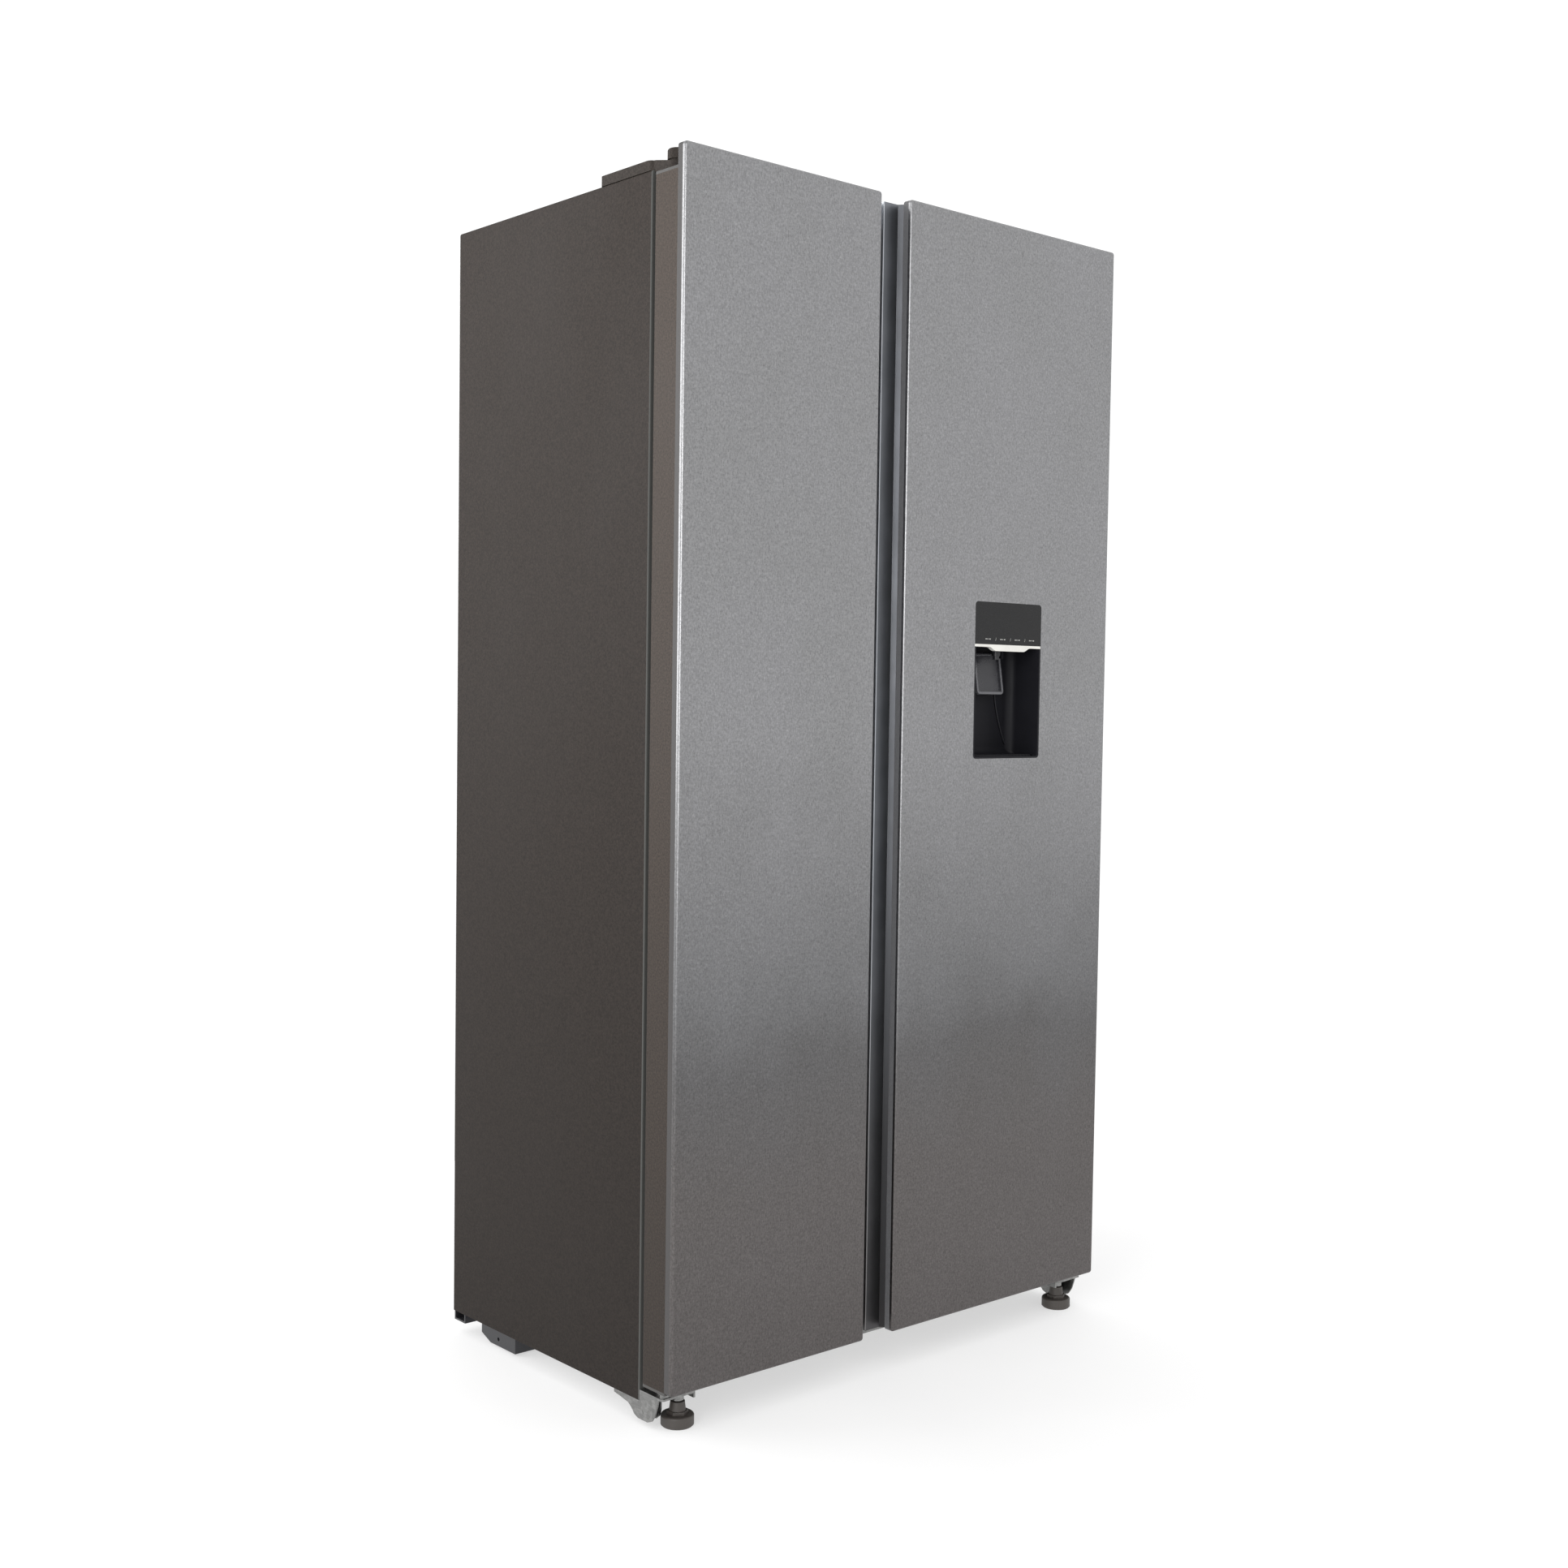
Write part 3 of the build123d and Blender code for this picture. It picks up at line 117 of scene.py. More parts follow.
class Finish:
    """One node material, whose textures lie in the model's own coordinates."""

    def __init__(self, name, settings):
        self.material = bpy.data.materials.new(name)
        self.material.use_nodes = True
        self.tree = self.material.node_tree
        self.shader = self.tree.nodes["Principled BSDF"]
        for socket, value in settings.items():
            self.shader.inputs[socket].default_value = value
        self.place = self.tree.nodes.new("ShaderNodeTexCoord").outputs["Object"]

    def join(self, source, target):
        self.tree.links.new(source, target)

    def scaled(self, stretch):
        """The coordinates, multiplied axis by axis: features per metre."""
        mapping = self.tree.nodes.new("ShaderNodeMapping")
        mapping.inputs["Scale"].default_value = stretch
        self.join(self.place, mapping.inputs["Vector"])
        return mapping.outputs["Vector"]

    def noise(self, stretch, detail=2.0, roughness=0.5):
        texture = self.tree.nodes.new("ShaderNodeTexNoise")
        texture.inputs["Scale"].default_value = 1.0
        texture.inputs["Detail"].default_value = detail
        texture.inputs["Roughness"].default_value = roughness
        self.join(self.scaled(stretch), texture.inputs["Vector"])
        return texture.outputs["Fac"]

    def along(self, axis):
        """Coordinate along one axis, in metres; along Z it is the height above the floor."""
        split = self.tree.nodes.new("ShaderNodeSeparateXYZ")
        self.join(self.place, split.inputs["Vector"])
        return split.outputs[axis]

    def cells(self, stretch, output="Distance"):
        texture = self.tree.nodes.new("ShaderNodeTexVoronoi")
        texture.inputs["Scale"].default_value = 1.0
        self.join(self.scaled(stretch), texture.inputs["Vector"])
        return texture.outputs[output]

    def math(self, operation, a, b=0.0):
        node = self.tree.nodes.new("ShaderNodeMath")
        node.operation = operation
        for value, socket in zip((a, b), node.inputs):
            if isinstance(value, (int, float)):
                socket.default_value = value
            else:
                self.join(value, socket)
        return node.outputs[0]

    def spread(self, factor, low, high, start=0.3, end=0.7):
        """Map a texture's usual range on to low..high."""
        node = self.tree.nodes.new("ShaderNodeMapRange")
        for socket, value in (("From Min", start), ("From Max", end), ("To Min", low), ("To Max", high)):
            node.inputs[socket].default_value = value
        self.join(factor, node.inputs["Value"])
        return node.outputs["Result"]

    def ramp(self, factor, *stops):
        """Colour by factor; each stop is (position, colour)."""
        node = self.tree.nodes.new("ShaderNodeValToRGB")
        elements = node.color_ramp.elements
        while len(elements) < len(stops):
            elements.new(0.5)
        for element, (position, colour) in zip(elements, stops):
            element.position = position
            element.color = (*colour, 1.0)
        self.join(factor, node.inputs["Fac"])
        return node.outputs["Color"]

    def blend(self, mode, factor, a, b):
        """Mix two colours; the factor may be a number or a texture."""
        node = self.tree.nodes.new("ShaderNodeMix")
        node.data_type = "RGBA"
        node.blend_type = mode
        for value, index in ((factor, MIX_FACTOR), (a, MIX_A), (b, MIX_B)):
            socket = node.inputs[index]
            if isinstance(value, (int, float)):
                socket.default_value = value
            elif isinstance(value, tuple):
                socket.default_value = (*value, 1.0)
            else:
                self.join(value, socket)
        return node.outputs[MIX_RESULT]

    def bump(self, height, distance, strength):
        node = self.tree.nodes.new("ShaderNodeBump")
        node.inputs["Distance"].default_value = distance
        node.inputs["Strength"].default_value = strength
        self.join(height, node.inputs["Height"])
        return node.outputs["Normal"]

    def done(self, colour, roughness, normal=None):
        for socket, source in (("Base Color", colour), ("Roughness", roughness), ("Normal", normal)):
            if source is not None:
                self.join(source, self.shader.inputs[socket])
        return self.material


def shades(colour, *factors):
    """The same colour, lighter and darker."""
    return [tuple(min(1.0, channel * factor) for channel in colour) for factor in factors]


def brushed_steel():
    """Stainless sheet: a fine linen-like grain, soft clouding painted as blotchy reflections, and
    painted shade that darkens it towards the floor.
    """
    f = Finish("brushed_steel", {"Metallic": 1.0, "Anisotropic": 0.35, "Specular IOR Level": 0.5})
    tangent = f.tree.nodes.new("ShaderNodeTangent")
    tangent.direction_type = "RADIAL"
    tangent.axis = "Z"
    f.join(tangent.outputs["Tangent"], f.shader.inputs["Tangent"])
    upright = f.noise((480, 480, 230), 3.0, 0.7)
    cross = f.noise((220, 220, 430), 3.0, 0.7)
    cloud = f.noise((5.0, 5.0, 3.5), 4.0, 0.6)
    low, mean, high = shades(STEEL, 0.76, 1.0, 1.24)
    tone = f.ramp(upright, (0.3, low), (0.5, mean), (0.7, high))
    tone = f.blend("MULTIPLY", 1.0, tone, f.ramp(cross, (0.3, (0.85,) * 3), (0.7, (1.11,) * 3)))
    # Painted reflection: the soft clouding darkens the steel in blotches.
    tone = f.blend("MULTIPLY", 1.0, tone, f.ramp(cloud, (0.3, (0.94, 0.94, 0.93)), (0.7, WHITE)))
    # Painted shade: the steel darkens and warms towards the floor, its edge broken up by the clouding.
    height = f.math("ADD", f.along("Z"), f.spread(cloud, -0.03, 0.03))
    stops = [(z, shades(tint, level)[0]) for z, level, tint in STEEL_PAINTED_SHADE]
    tone = f.blend("MULTIPLY", 1.0, tone, f.ramp(f.math("DIVIDE", height, PAINTED_SHADE_TOP), *stops))
    rough = f.math("ADD", f.spread(upright, 0.27, 0.35), f.spread(cloud, -0.02, 0.03))
    relief = f.math("ADD", f.math("MULTIPLY", upright, 0.6), f.math("MULTIPLY", cross, 0.4))
    return f.done(tone, rough, f.bump(relief, 0.0001, 0.08))


def textured_paint(name, colour, gloss=0.42, shine=0.5, foot=1.0, bend=None):
    """Baked enamel on sheet steel: orange peel, speck and clouding; foot darkens it towards the floor as
    painted shade.

    In front of the depth bend the paint is paler: a painted highlight along the folded edge.
    """
    f = Finish(name, {"Specular IOR Level": shine})
    peel = f.noise((900, 900, 900), 2.0)
    speck = f.noise((330, 330, 330), 3.0, 0.7)
    cloud = f.noise((2.3, 2.3, 1.6), 3.0, 0.6)
    dark, light = shades(colour, 0.6, 1.4)
    tone = f.ramp(speck, (0.32, dark), (0.68, light))
    tone = f.blend("MULTIPLY", 1.0, tone, f.ramp(cloud, (0.3, (0.9, 0.89, 0.89)), (0.7, WHITE)))
    # Painted shade: a foot below 1 darkens the paint towards the floor.
    painted_floor_shade = f.ramp(f.math("DIVIDE", f.along("Z"), PAINTED_SHADE_TOP), (0.0, (foot,) * 3), (1.0, WHITE))
    tone = f.blend("MULTIPLY", 1.0, tone, painted_floor_shade)
    if bend is not None:
        # Painted highlight: paler paint in front of the bend.
        painted_highlight = f.spread(f.along("Y"), 1.0, 0.0, bend, bend + SOFT_STEP)
        tone = f.blend("MIX", painted_highlight, tone, BEND_HIGHLIGHT_PAINT)
    rough = f.spread(cloud, gloss - 0.04, gloss + 0.06)
    return f.done(tone, rough, f.bump(peel, 0.0002, 0.25))


def door_frame_paint():
    """Grey frame paint, paler on the finger channel's side than on the hinge side: painted light on the
    frame in the shaded channel.
    """
    f = Finish("door_frame_paint", {"Specular IOR Level": 0.35})
    speck = f.noise((420, 420, 420), 3.0, 0.7)
    hinge_side = f.spread(f.math("ABSOLUTE", f.along("X")), 0.0, 1.0, FRAME_SIDE, FRAME_SIDE + 7 * MM)
    # Painted light: the frame is paler in the finger channel than on the hinge side.
    tone = f.blend("MIX", hinge_side, (0.125, 0.125, 0.13), (0.048, 0.045, 0.045))
    tone = f.blend("MULTIPLY", 1.0, tone, f.ramp(speck, (0.32, (0.84,) * 3), (0.68, (1.12,) * 3)))
    return f.done(tone, f.spread(speck, 0.38, 0.5), f.bump(speck, 0.0002, 0.2))


def galvanised():
    """Zinc coated steel with its spangle."""
    f = Finish("galvanised", {"Metallic": 1.0})
    spangle = f.cells((150, 150, 150), output="Color")
    scuff = f.noise((60, 60, 500), 3.0, 0.6)
    split = f.tree.nodes.new("ShaderNodeSeparateColor")
    f.join(spangle, split.inputs["Color"])
    dark, light = shades((0.28, 0.28, 0.275), 0.85, 1.12)
    tone = f.ramp(split.outputs[0], (0.1, dark), (0.9, light))
    tone = f.blend("MULTIPLY", 0.5, tone, f.ramp(scuff, (0.35, (0.6,) * 3), (0.65, WHITE)))
    rough = f.spread(split.outputs[1], 0.32, 0.48, 0.0, 1.0)
    return f.done(tone, rough, f.bump(scuff, 0.0003, 0.2))


def moulded(name, colour, roughness=0.45, pebble=1200.0, depth=0.00015, settings=None, uneven=0.09):
    """Moulded plastic with a fine etched grain and slightly uneven gloss."""
    f = Finish(name, settings or {})
    grain = f.cells((pebble, pebble, pebble))
    cloud = f.noise((14, 14, 14), 3.0, 0.6)
    dark, light = shades(colour, 1.0 - uneven, 1.0 + uneven)
    tone = f.ramp(cloud, (0.3, dark), (0.7, light))
    rough = f.spread(cloud, roughness - 0.6 * uneven, roughness + 0.6 * uneven)
    return f.done(tone, rough, f.bump(grain, depth, 0.3))


def gloss_panel():
    """Dark glossy plastic with faint dust and wipe marks."""
    f = Finish("gloss_panel", {"Coat Weight": 0.12, "Coat Roughness": 0.15, "Specular IOR Level": 0.2})
    wipe = f.noise((30, 30, 180), 3.0, 0.6)
    dust = f.noise((700, 700, 700), 1.0)
    tone = f.ramp(dust, (0.4, (0.007, 0.007, 0.0075)), (0.75, (0.014, 0.014, 0.015)))
    return f.done(tone, f.spread(wipe, 0.22, 0.36), f.bump(wipe, 0.0001, 0.15))


def channel_metal():
    """Satin metallic finish of the finger channels: painted highlights on the lips, painted shade on the
    ramps under the frames, and painted shade towards the floor.
    """
    f = Finish("channel_metal", {"Metallic": 0.85})
    left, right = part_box("left_door_grip"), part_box("right_door_grip")
    start, span = left[0].x, right[1].x - left[0].x
    # Painted highlight on the lips, painted shade on the ramps under the frames.
    ramp_shade, satin, lip_highlight = (0.075, 0.078, 0.085), (0.21, 0.22, 0.24), (0.5, 0.52, 0.55)
    edges = (
        (left[0].x + CHANNEL_RAMP, ramp_shade, satin),
        (left[1].x - CHANNEL_LIP, satin, lip_highlight),
        (right[0].x + CHANNEL_LIP, lip_highlight, satin),
        (right[1].x - CHANNEL_RAMP, satin, ramp_shade),
    )
    stops = []
    for x, before, after in edges:
        place = (x - start) / span
        stops += [(place - CHANNEL_STEP, before), (place + CHANNEL_STEP, after)]
    across = f.math("DIVIDE", f.math("SUBTRACT", f.along("X"), start), span)
    grain = f.cells((1200, 1200, 1200))
    cloud = f.noise((14, 14, 14), 3.0, 0.6)
    uneven = f.ramp(cloud, (0.3, (0.92,) * 3), (0.7, (1.06,) * 3))
    tone = f.blend("MULTIPLY", 1.0, f.ramp(across, *stops), uneven)
    height = f.math("DIVIDE", f.along("Z"), PAINTED_SHADE_TOP)
    # Painted shade: the channels darken towards the floor.
    foot = f.ramp(height, (0.02, (0.40, 0.37, 0.35)), (0.2, (0.56, 0.54, 0.52)), (0.42, WHITE))
    tone = f.blend("MULTIPLY", 1.0, tone, foot)
    return f.done(tone, f.spread(cloud, 0.31, 0.4), f.bump(grain, 0.0001, 0.25))


def smoked_paddle():
    """Smoked plastic of the paddle; its thicker rim is painted lighter than the middle, a painted
    highlight of the light it catches.
    """
    f = Finish("paddle_plastic", {"Transmission Weight": 0.3, "IOR": 1.49, "Specular IOR Level": 0.4})
    low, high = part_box("dispenser_paddle")
    centre, half = (low.x + high.x) / 2, (high.x - low.x) / 2 - PADDLE_PIVOT
    flow = f.noise((25, 25, 70), 2.0)
    out = f.math("ABSOLUTE", f.math("SUBTRACT", f.along("X"), centre))
    inner, sill = half - PADDLE_RIM, low.z + PADDLE_RIM
    sides = f.spread(out, 0.0, 1.0, inner, inner + 2 * SOFT_STEP)
    foot = f.spread(f.along("Z"), 1.0, 0.0, sill, sill + 2 * SOFT_STEP)
    rim = f.math("MAXIMUM", sides, foot)
    # Painted highlight: the rim is lighter than the middle.
    tone = f.blend("MIX", rim, (0.055, 0.055, 0.063), (0.19, 0.19, 0.205))
    tone = f.blend("MULTIPLY", 1.0, tone, f.ramp(flow, (0.35, (0.9,) * 3), (0.65, WHITE)))
    return f.done(tone, f.spread(flow, 0.2, 0.3), f.bump(flow, 0.0002, 0.05))


def clear_moulding(name, tint, weight, roughness):
    """Clear plastic or glass with flow lines and a little haze."""
    f = Finish(name, {"Transmission Weight": weight, "IOR": 1.49})
    flow = f.noise((25, 25, 70), 2.0)
    dark, light = shades(tint, 0.94, 1.0)
    tone = f.ramp(flow, (0.35, dark), (0.65, light))
    return f.done(tone, f.spread(flow, roughness, roughness + 0.08), f.bump(flow, 0.0004, 0.12))


def rigid_foam():
    """Poured insulation with its bubbles."""
    f = Finish("rigid_foam", {})
    bubbles = f.cells((260, 260, 260))
    tone = f.ramp(bubbles, (0.1, (0.52, 0.42, 0.2)), (0.8, (0.72, 0.62, 0.36)))
    return f.done(tone, f.spread(bubbles, 0.7, 0.9), f.bump(bubbles, 0.001, 0.5))


def soft_rubber():
    """Matt rubber with a bloom and fine lengthwise lines."""
    f = Finish("soft_rubber", {"Sheen Weight": 0.15, "Sheen Roughness": 0.5})
    bloom = f.noise((40, 40, 40), 3.0, 0.6)
    line = f.noise((1500, 1500, 20), 1.0)
    tone = f.ramp(bloom, (0.3, (0.12, 0.12, 0.125)), (0.7, (0.19, 0.19, 0.195)))
    return f.done(tone, f.spread(bloom, 0.6, 0.8), f.bump(line, 0.0002, 0.3))


def lamp_cover():
    """Frosted diffuser, faintly lit from within."""
    f = Finish("lamp_cover", {"Emission Color": (1.0, 0.98, 0.94, 1.0), "Emission Strength": 1.2})
    frost = f.noise((500, 500, 500), 1.0)
    return f.done(f.ramp(frost, (0.3, (0.86,) * 3), (0.7, (0.95,) * 3)), f.spread(frost, 0.4, 0.6))


shell_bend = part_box("outer_shell")[0].y + SHELL_BEND
FINISHES = {
    "stainless": brushed_steel(),
    # Cabinet paint: darkened to 0.6 at the floor as painted shade, paler at the front bend as a painted
    # highlight.
    "cabinet_paint": textured_paint("cabinet_paint", PAINT, 0.5, 0.12, 0.6, shell_bend),
    "frame_grey": door_frame_paint(),
    "grip_plastic": channel_metal(),
    "cap_plastic": moulded("cap_plastic", (0.05, 0.048, 0.046), 0.5),
    "foam": rigid_foam(),
    "liner_white": moulded("liner_white", (0.74, 0.75, 0.75), 0.36, 700.0, 0.0001, uneven=0.015),
    "gasket_rubber": soft_rubber(),
    "clear_plastic": clear_moulding("clear_plastic", (0.93, 0.96, 0.97), 0.92, 0.06),
    "paddle_plastic": smoked_paddle(),
    "shelf_glass": clear_moulding("shelf_glass", (0.9, 0.97, 0.95), 0.95, 0.02),
    "black_plastic": moulded("black_plastic", (0.018, 0.018, 0.021), 0.38),
    "foot_plastic": moulded("foot_plastic", (0.052, 0.045, 0.040), 0.5, 700.0, 0.0003),
    "control_gloss": gloss_panel(),
    "trim_white": moulded("trim_white", (0.72, 0.71, 0.67), 0.3),
    "zinc_steel": galvanised(),
    "compressor_black": textured_paint("compressor_black", (0.012, 0.012, 0.012), 0.3),
    "aluminium": moulded("aluminium", (0.72, 0.73, 0.74), 0.35, 1500.0, 0.0001, {"Metallic": 1.0}),
    "condenser_paint": textured_paint("condenser_paint", (0.02, 0.02, 0.02), 0.4),
    "lamp_white": lamp_cover(),
    "cover_plastic": textured_paint("cover_plastic", COVER_PAINT, 0.55, 0.12),
}
RECESS_BLACK = moulded("recess_black", RECESS_TONE, 0.5, settings={"Specular IOR Level": 0.18})
# Painted highlight: paler plastic for the recess crease.
CREASE_BLACK = moulded("crease_black", CREASE_HIGHLIGHT_TONE, 0.5, settings={"Specular IOR Level": 0.3})
# Door sides: darkened to half at the floor as painted shade.
DOOR_SIDE = textured_paint("door_side_paint", DOOR_SIDE_PAINT, 0.5, 0.2, 0.5)
MARK_WHITE = moulded("mark_white", (0.42, 0.42, 0.40), 0.5)
NODE_FINISHES = {
    "dispenser_housing": RECESS_BLACK,
    "left_door_casing": DOOR_SIDE,
    "right_door_casing": DOOR_SIDE,
}

for part in frame["record"]["subparts"]:
    mesh = nodes[part["node"]].data
    mesh.materials.clear()
    mesh.materials.append(NODE_FINISHES.get(part["node"], FINISHES[part["material_slot"]]))


# ---------------------------------------------------------------- fittings
class Fitting:
    """One added piece, put together from simple bodies and rounded off with a bevel."""

    def __init__(self):
        self.mesh = bmesh.new()

    def slab(self, low, high, turn=0.0):
        """Box between two corners; turn leans it about its middle, in degrees, in the front view."""
        middle = (Vector(low) + Vector(high)) / 2
        size = Vector(high) - Vector(low)
        place = Matrix.Translation(middle) @ Matrix.Rotation(math.radians(turn), 4, "Y")
        bmesh.ops.create_cube(self.mesh, size=1.0, matrix=place @ Matrix.Diagonal((*size, 1.0)))
        return self

    def rod(self, start, end, radius, sides=32, tip=None):
        """Round or many sided bar between two points; tip is its radius at the end."""
        start, end = Vector(start), Vector(end)
        line = end - start
        turn = line.to_track_quat("Z", "Y").to_matrix().to_4x4()
        bmesh.ops.create_cone(
            self.mesh,
            cap_ends=True,
            segments=sides,
            radius1=radius,
            radius2=radius if tip is None else tip,
            depth=line.length,
            matrix=Matrix.Translation((start + end) / 2) @ turn,
        )
        return self

    def sweep(self, path, section):
        """A flat section, given as offsets (x, y, z), carried along a path of points."""
        rings = []
        for point in path:
            rings.append([self.mesh.verts.new(Vector(point) + Vector(offset)) for offset in section])
        for first, second in zip(rings, rings[1:]):
            for i in range(len(section)):
                j = (i + 1) % len(section)
                self.mesh.faces.new((first[i], first[j], second[j], second[i]))
        self.mesh.faces.new(rings[0][::-1])
        self.mesh.faces.new(rings[-1])
        return self

    def finish(self, name, body, slot, bevel=0.0, material=None):
        bmesh.ops.recalc_face_normals(self.mesh, faces=self.mesh.faces)
        data = bpy.data.meshes.new(name)
        self.mesh.to_mesh(data)
        self.mesh.free()
        data.materials.append(material or FINISHES[slot])
        piece = bpy.data.objects.new(name, data)
        bpy.context.scene.collection.objects.link(piece)
        if bevel:
            rounding = piece.modifiers.new("rounding", "BEVEL")
            rounding.width = bevel
            rounding.segments = 2
            rounding.limit_method = "ANGLE"
        data.shade_smooth()
        smooth = piece.modifiers.new("smooth_faces", "WEIGHTED_NORMAL")
        smooth.keep_sharp = True
        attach(piece, body)


def spaced(first, last, count):
    return [first + (last - first) * i / (count - 1) for i in range(count)]


def control_marks():
    """Printed marks of the four functions: short pale dashes with slanted lines between them."""
    low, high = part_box("control_panel")
    front, z = low.y, low.z + 8.5 * MM
    dash_half, line_half, line_rise, lean = 0.7 * MM, 0.25 * MM, 2.6 * MM, 14
    places = spaced(low.x + 30 * MM, high.x - 22 * MM, 4)
    marks = Fitting()
    for x in places:
        for i, width in enumerate((3.2, 2.0, 3.8)):
            left = x - 6 * MM + i * 4.2 * MM
            marks.slab((left, front - PRINT, z - dash_half), (left + width * MM, front, z + dash_half))
    for x0, x1 in zip(places, places[1:]):
        x = (x0 + x1) / 2 + 1.0 * MM
        foot, top = (x - line_half, front - PRINT, z - line_rise), (x + line_half, front, z + line_rise)
        marks.slab(foot, top, lean)
    marks.finish("control_marks", "right_door", "trim_white", material=MARK_WHITE)


def drip_grille():
    """Slotted tray insert on the floor of the dispenser's recess."""
    low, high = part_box("dispenser_housing")
    border, depth, bars = 8 * MM, 36 * MM, 17
    rim, bar_half = 2.2 * MM, 1.1 * MM
    x0, x1 = low.x + border, high.x - border
    y0 = low.y + border
    y1 = y0 + depth
    z0, z1 = low.z + 2.6 * MM, low.z + 5.2 * MM
    tray = Fitting()
    tray.slab((x0, y0, z0), (x1, y0 + rim, z1)).slab((x0, y1 - rim, z0), (x1, y1, z1))
    tray.slab((x0, y0, z0), (x0 + rim, y1, z1)).slab((x1 - rim, y0, z0), (x1, y1, z1))
    for x in spaced(x0 + 6 * MM, x1 - 6 * MM, bars):
        tray.slab((x - bar_half, y0, z0 + 0.4 * MM), (x + bar_half, y1, z1 - 0.5 * MM))
    tray.finish("drip_grille", "right_door", "black_plastic", 0.3 * MM, RECESS_BLACK)


def recess_crease():
    """Soft crease that curves down the recess's back wall to its floor, paler than the wall as a painted
    highlight.
    """
    low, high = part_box("dispenser_housing")
    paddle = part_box("dispenser_paddle")
    y = high.y - 5.6 * MM
    start = Vector((paddle[1].x - 3 * MM, y, paddle[0].z + 6 * MM))
    end = Vector((high.x - 14 * MM, y, low.z + 20 * MM))
    straight, curved = 0.35, 0.65
    path = []
    for t in spaced(0.0, 1.0, 25):
        x = start.x + (end.x - start.x) * (straight * t + curved * t * t)
        path.append((x, y, start.z + (end.z - start.z) * t))
    fold = [(x * MM, y * MM, 0) for x, y in ((-2.2, 0.6), (-0.4, -0.5), (0.4, -0.5), (2.2, 0.6))]
    crease = Fitting().sweep(path, fold)
    crease.finish("recess_crease", "right_door", "black_plastic", 0.0, CREASE_BLACK)


def shelf_trims():
    """Satin strip along the front lip of every shelf."""
    for node, back in (("freezer_shelves", "freezer"), ("fridge_shelves", "fridge")):
        low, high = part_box(node)
        x0, x1, front = low.x + 3 * MM, high.x - 3 * MM, low.y - 1.6 * MM
        trim = Fitting()
        for z in shelf_levels(node):
            trim.slab((x0, front, z - 13 * MM), (x1, low.y + 1 * MM, z + 0.8 * MM))
            trim.slab((x0, front, z), (x1, low.y + 8 * MM, z + 1.0 * MM))
        trim.finish(f"{back}_shelf_trims", "cabinet", "trim_white", 0.8 * MM)


def shelf_levels(node):
    """Heights of the top of each shelf's front lip, read from its mesh."""
    heights = sorted(v.co.z for v in nodes[node].data.vertices)
    tops = []
    for z in heights:
        if not tops or z - tops[-1][0] > SHELF_PITCH:
            tops.append([z, z])
        tops[-1][1] = max(tops[-1][1], z)
    return [top for _, top in tops]


def drawer_handles():
    """Pull rail along each drawer's upper edge; its middle part sits lower, under the hand recess."""
    for comp in ("freezer", "fridge"):
        for level in ("lower", "upper"):
            node = f"{comp}_{level}_drawer"
            low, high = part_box(node)
            x0, x1, top = low.x + 12 * MM, high.x - 12 * MM, high.z
            middle, front, back = (x0 + x1) / 2, low.y - 2.2 * MM, low.y + 1 * MM
            left, right = middle - LABEL_HALF, middle + LABEL_HALF
            rail = Fitting()
            rail.slab((x0, front, top - 14 * MM), (left, back, top - 3 * MM))
            rail.slab((right, front, top - 14 * MM), (x1, back, top - 3 * MM))
            rail.slab((left, front, top - 32 * MM), (right, back, top - 25 * MM))
            rail.finish(f"{node}_rail", node, "trim_white", 0.9 * MM)


def bin_rails():
    """Pale guard rail along the upper edge of each door bin."""
    for side, count in (("left", 4), ("right", 3)):
        node = f"{side}_door_bins"
        low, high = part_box(node)
        x0, x1 = low.x + 18 * MM, high.x - 18 * MM
        rails = Fitting()
        for top in bin_tops(node, count):
            rails.slab((x0, high.y - 0.6 * MM, top - 12 * MM), (x1, high.y + 1.8 * MM, top - 2 * MM))
        rails.finish(f"{side}_bin_rails", f"{side}_door", "trim_white", 0.8 * MM)


def bin_tops(node, count):
    """Height of each bin's upper edge, read from the front of its mesh."""
    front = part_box(node)[1].y - 1 * MM
    heights = sorted({round(v.co.z, 4) for v in nodes[node].data.vertices if v.co.y > front})
    groups = []
    for z in heights:
        if groups and z - groups[-1][0] < BIN_PITCH:
            groups[-1][1] = z
        else:
            groups.append([z, z])
    assert len(groups) == count, (node, groups)
    return [top for _, top in groups]


def screw(fitting, head, direction, radius):
    """Pan head with a six sided middle, its axis along direction."""
    head, direction = Vector(head), Vector(direction)
    fitting.rod(head, head + direction * 1.2 * MM, radius, 24, radius * 0.82)
    fitting.rod(head + direction * 1.1 * MM, head + direction * 1.6 * MM, radius * 0.45, 6)


def cover_screws():
    """Screws along the upper edge of the machine cover."""
    low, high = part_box("machine_cover")
    cover = Fitting()
    y, z, radius = high.y - COVER_SHEET - 0.05 * MM, high.z - 12 * MM, 4 * MM
    for x in spaced(low.x + 18 * MM, high.x - 18 * MM, 6):
        screw(cover, (x, y, z), (0, 1, 0), radius)
    cover.finish("machine_cover_screws", "cabinet", "zinc_steel", 0.2 * MM)


def foot_nuts():
    """Hexagonal collar at the root of each levelling foot's neck, for a spanner."""
    for side in ("left", "right"):
        low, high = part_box(f"{side}_foot")
        x, y = (low.x + high.x) / 2, (low.y + high.y) / 2
        foot, top, corner_radius = low.z + 16.8 * MM, low.z + 22 * MM, 16 * MM
        nut = Fitting().rod((x, y, foot), (x, y, top), corner_radius, 6)
        nut.finish(f"{side}_foot_nut", f"{side}_foot", "foot_plastic", 0.6 * MM)


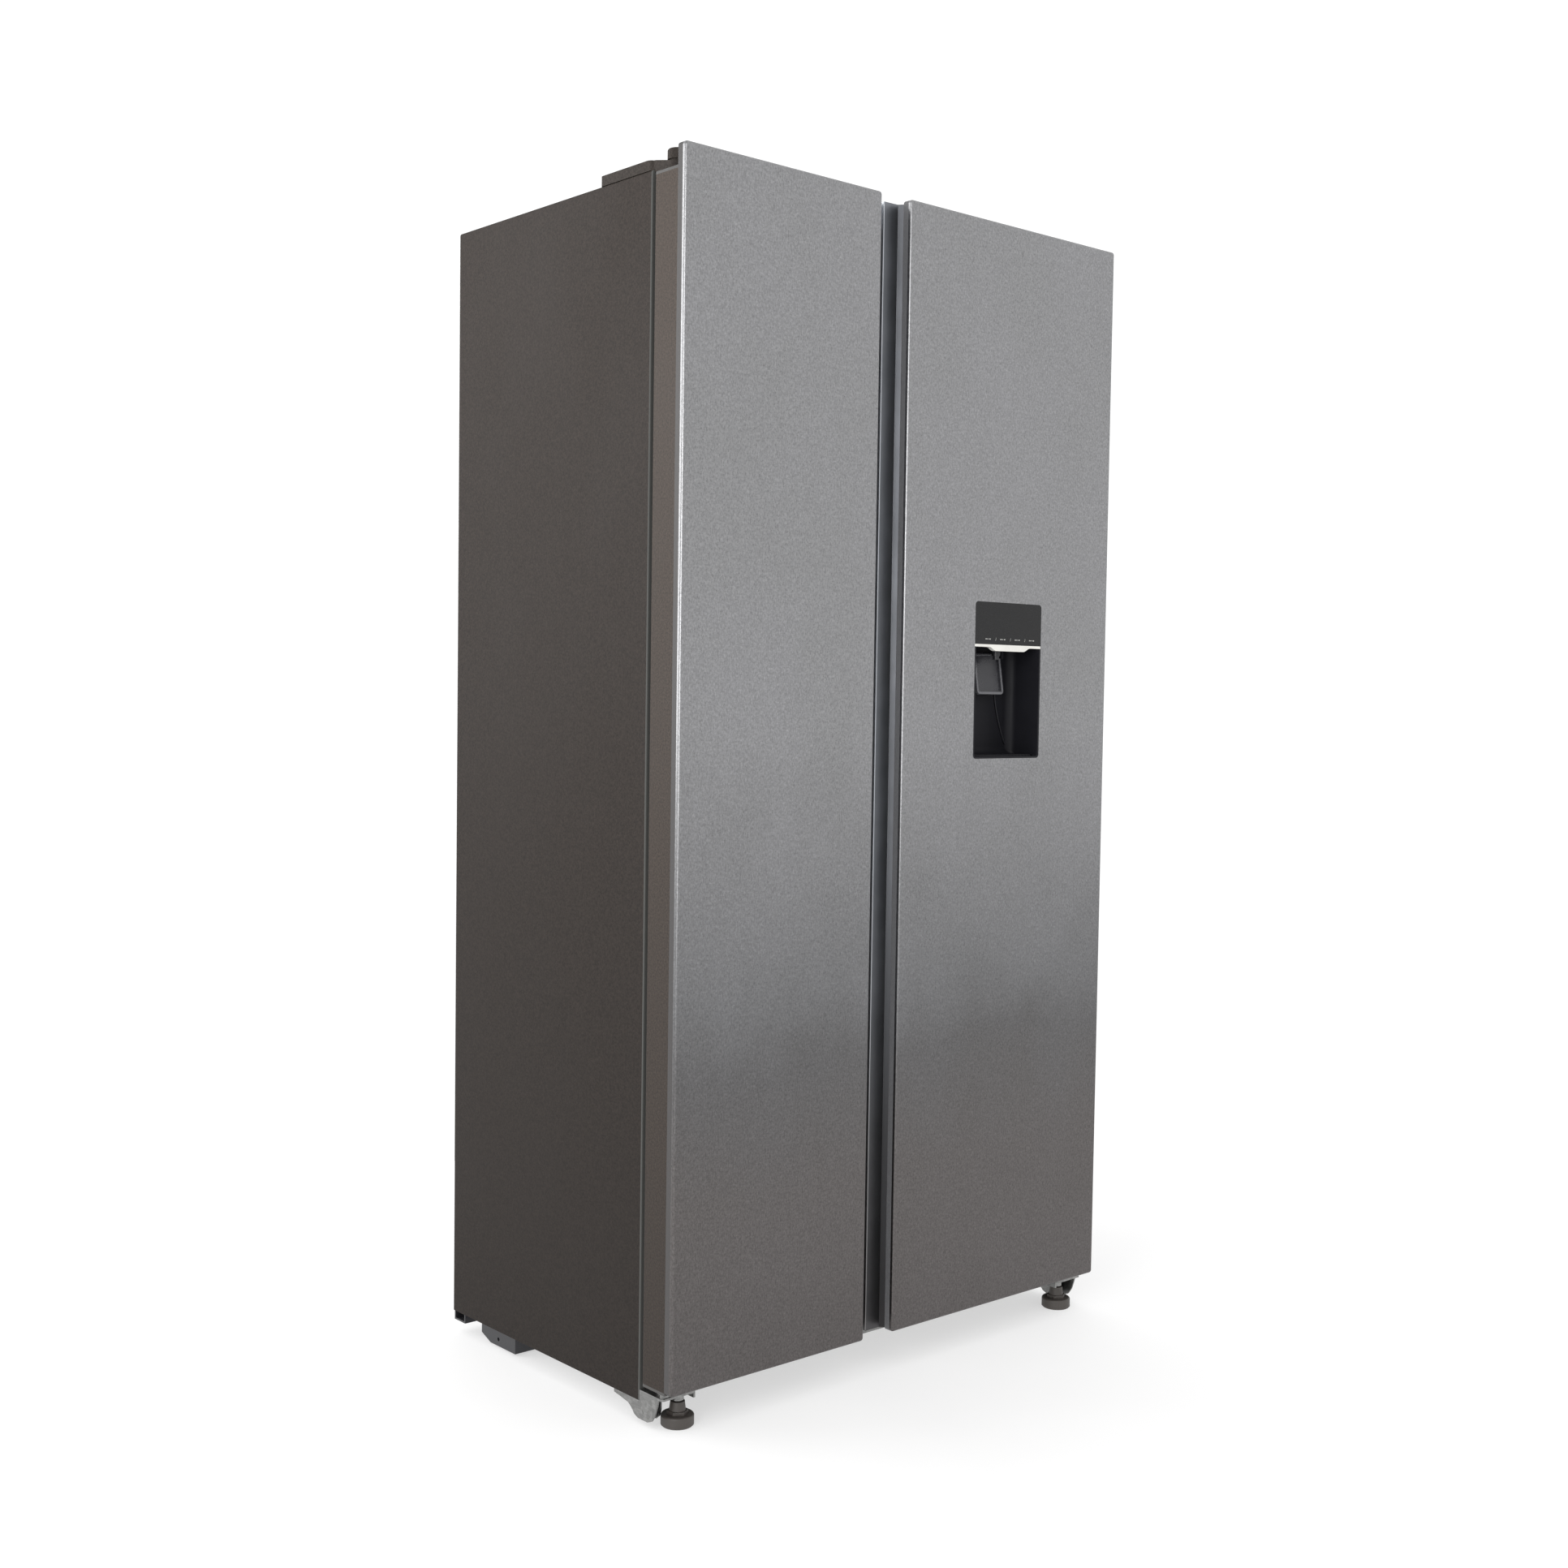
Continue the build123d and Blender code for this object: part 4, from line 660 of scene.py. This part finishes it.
def louvre_hoods():
    """A small sloping hood over every slot of the machine cover."""
    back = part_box("machine_cover")[1].y - COVER_SHEET
    hood = [(0, y * MM, z * MM) for y, z in ((0, 0), (0, 5), (2.4, -1), (1.4, -1))]
    hoods = Fitting()
    for row in range(LOUVRE_ROWS):
        z = LOUVRE_FIRST + row * LOUVRE_PITCH
        for x in LOUVRE_STARTS:
            hoods.sweep([(x, back, z), (x + LOUVRE_LENGTH, back, z)], hood)
    hoods.finish("machine_cover_louvres", "cabinet", "black_plastic", 0.2 * MM)


control_marks()
drip_grille()
recess_crease()
shelf_trims()
drawer_handles()
bin_rails()
cover_screws()
foot_nuts()
louvre_hoods()


# ---------------------------------------------------------------- studio
def camera_axes():
    """Right, up and backward directions of the camera."""
    azimuth, elevation = math.radians(CAMERA_AZIMUTH), math.radians(CAMERA_ELEVATION)
    level = math.cos(elevation)
    back = Vector((math.sin(azimuth) * level, -math.cos(azimuth) * level, math.sin(elevation)))
    right = (-back).cross(Vector((0, 0, 1))).normalized()
    up = back.cross(right)
    roll = math.radians(CAMERA_ROLL)
    return (
        right * math.cos(roll) + up * math.sin(roll),
        up * math.cos(roll) - right * math.sin(roll),
        back,
    )


def place_camera():
    data = bpy.data.cameras.new("camera")
    data.sensor_width = SENSOR
    data.lens = CAMERA_LENS
    data.clip_start, data.clip_end = 0.05, 100.0
    camera = bpy.data.objects.new("camera", data)
    bpy.context.scene.collection.objects.link(camera)
    turned = Matrix([list(axis) for axis in camera_axes()]).transposed().to_4x4()
    camera.matrix_world = Matrix.Translation(CAMERA_PLACE) @ turned
    bpy.context.scene.camera = camera


def place_softbox(name, place, target, size, power):
    """Rectangular studio light that faces a point."""
    data = bpy.data.lights.new(name, "AREA")
    data.shape = "RECTANGLE"
    data.size, data.size_y = size
    data.energy = power
    light = bpy.data.objects.new(name, data)
    bpy.context.scene.collection.objects.link(light)
    light.location = place
    light.rotation_mode = "QUATERNION"
    light.rotation_quaternion = (Vector(target) - Vector(place)).to_track_quat("-Z", "Y")


def studio_floor():
    f = Finish("studio_floor", {"Emission Color": (*WHITE, 1.0), "Emission Strength": FLOOR_GLOW})
    speckle = f.noise((3, 3, 3), 3.0)
    tone = f.ramp(speckle, (0.3, (0.42,) * 3), (0.7, (0.44,) * 3))
    material = f.done(tone, f.spread(speckle, 0.7, 0.8))
    mesh = bpy.data.meshes.new("studio_floor")
    corners = [(x * STUDIO_HALF, y * STUDIO_HALF, 0) for x, y in ((-1, -1), (1, -1), (1, 1), (-1, 1))]
    mesh.from_pydata(corners, [], [(0, 1, 2, 3)])
    mesh.materials.append(material)
    floor = bpy.data.objects.new("studio_floor", mesh)
    bpy.context.scene.collection.objects.link(floor)


def studio_world(strength):
    world = bpy.data.worlds.new("studio_world")
    world.use_nodes = True
    background = world.node_tree.nodes["Background"]
    background.inputs["Color"].default_value = (*WHITE, 1.0)
    background.inputs["Strength"].default_value = strength
    bpy.context.scene.world = world


studio_floor()
studio_world(WORLD_STRENGTH)
for name, staging in SOFTBOXES.items():
    place_softbox(name, *staging)
place_camera()
bpy.context.scene.view_settings.view_transform = "Standard"
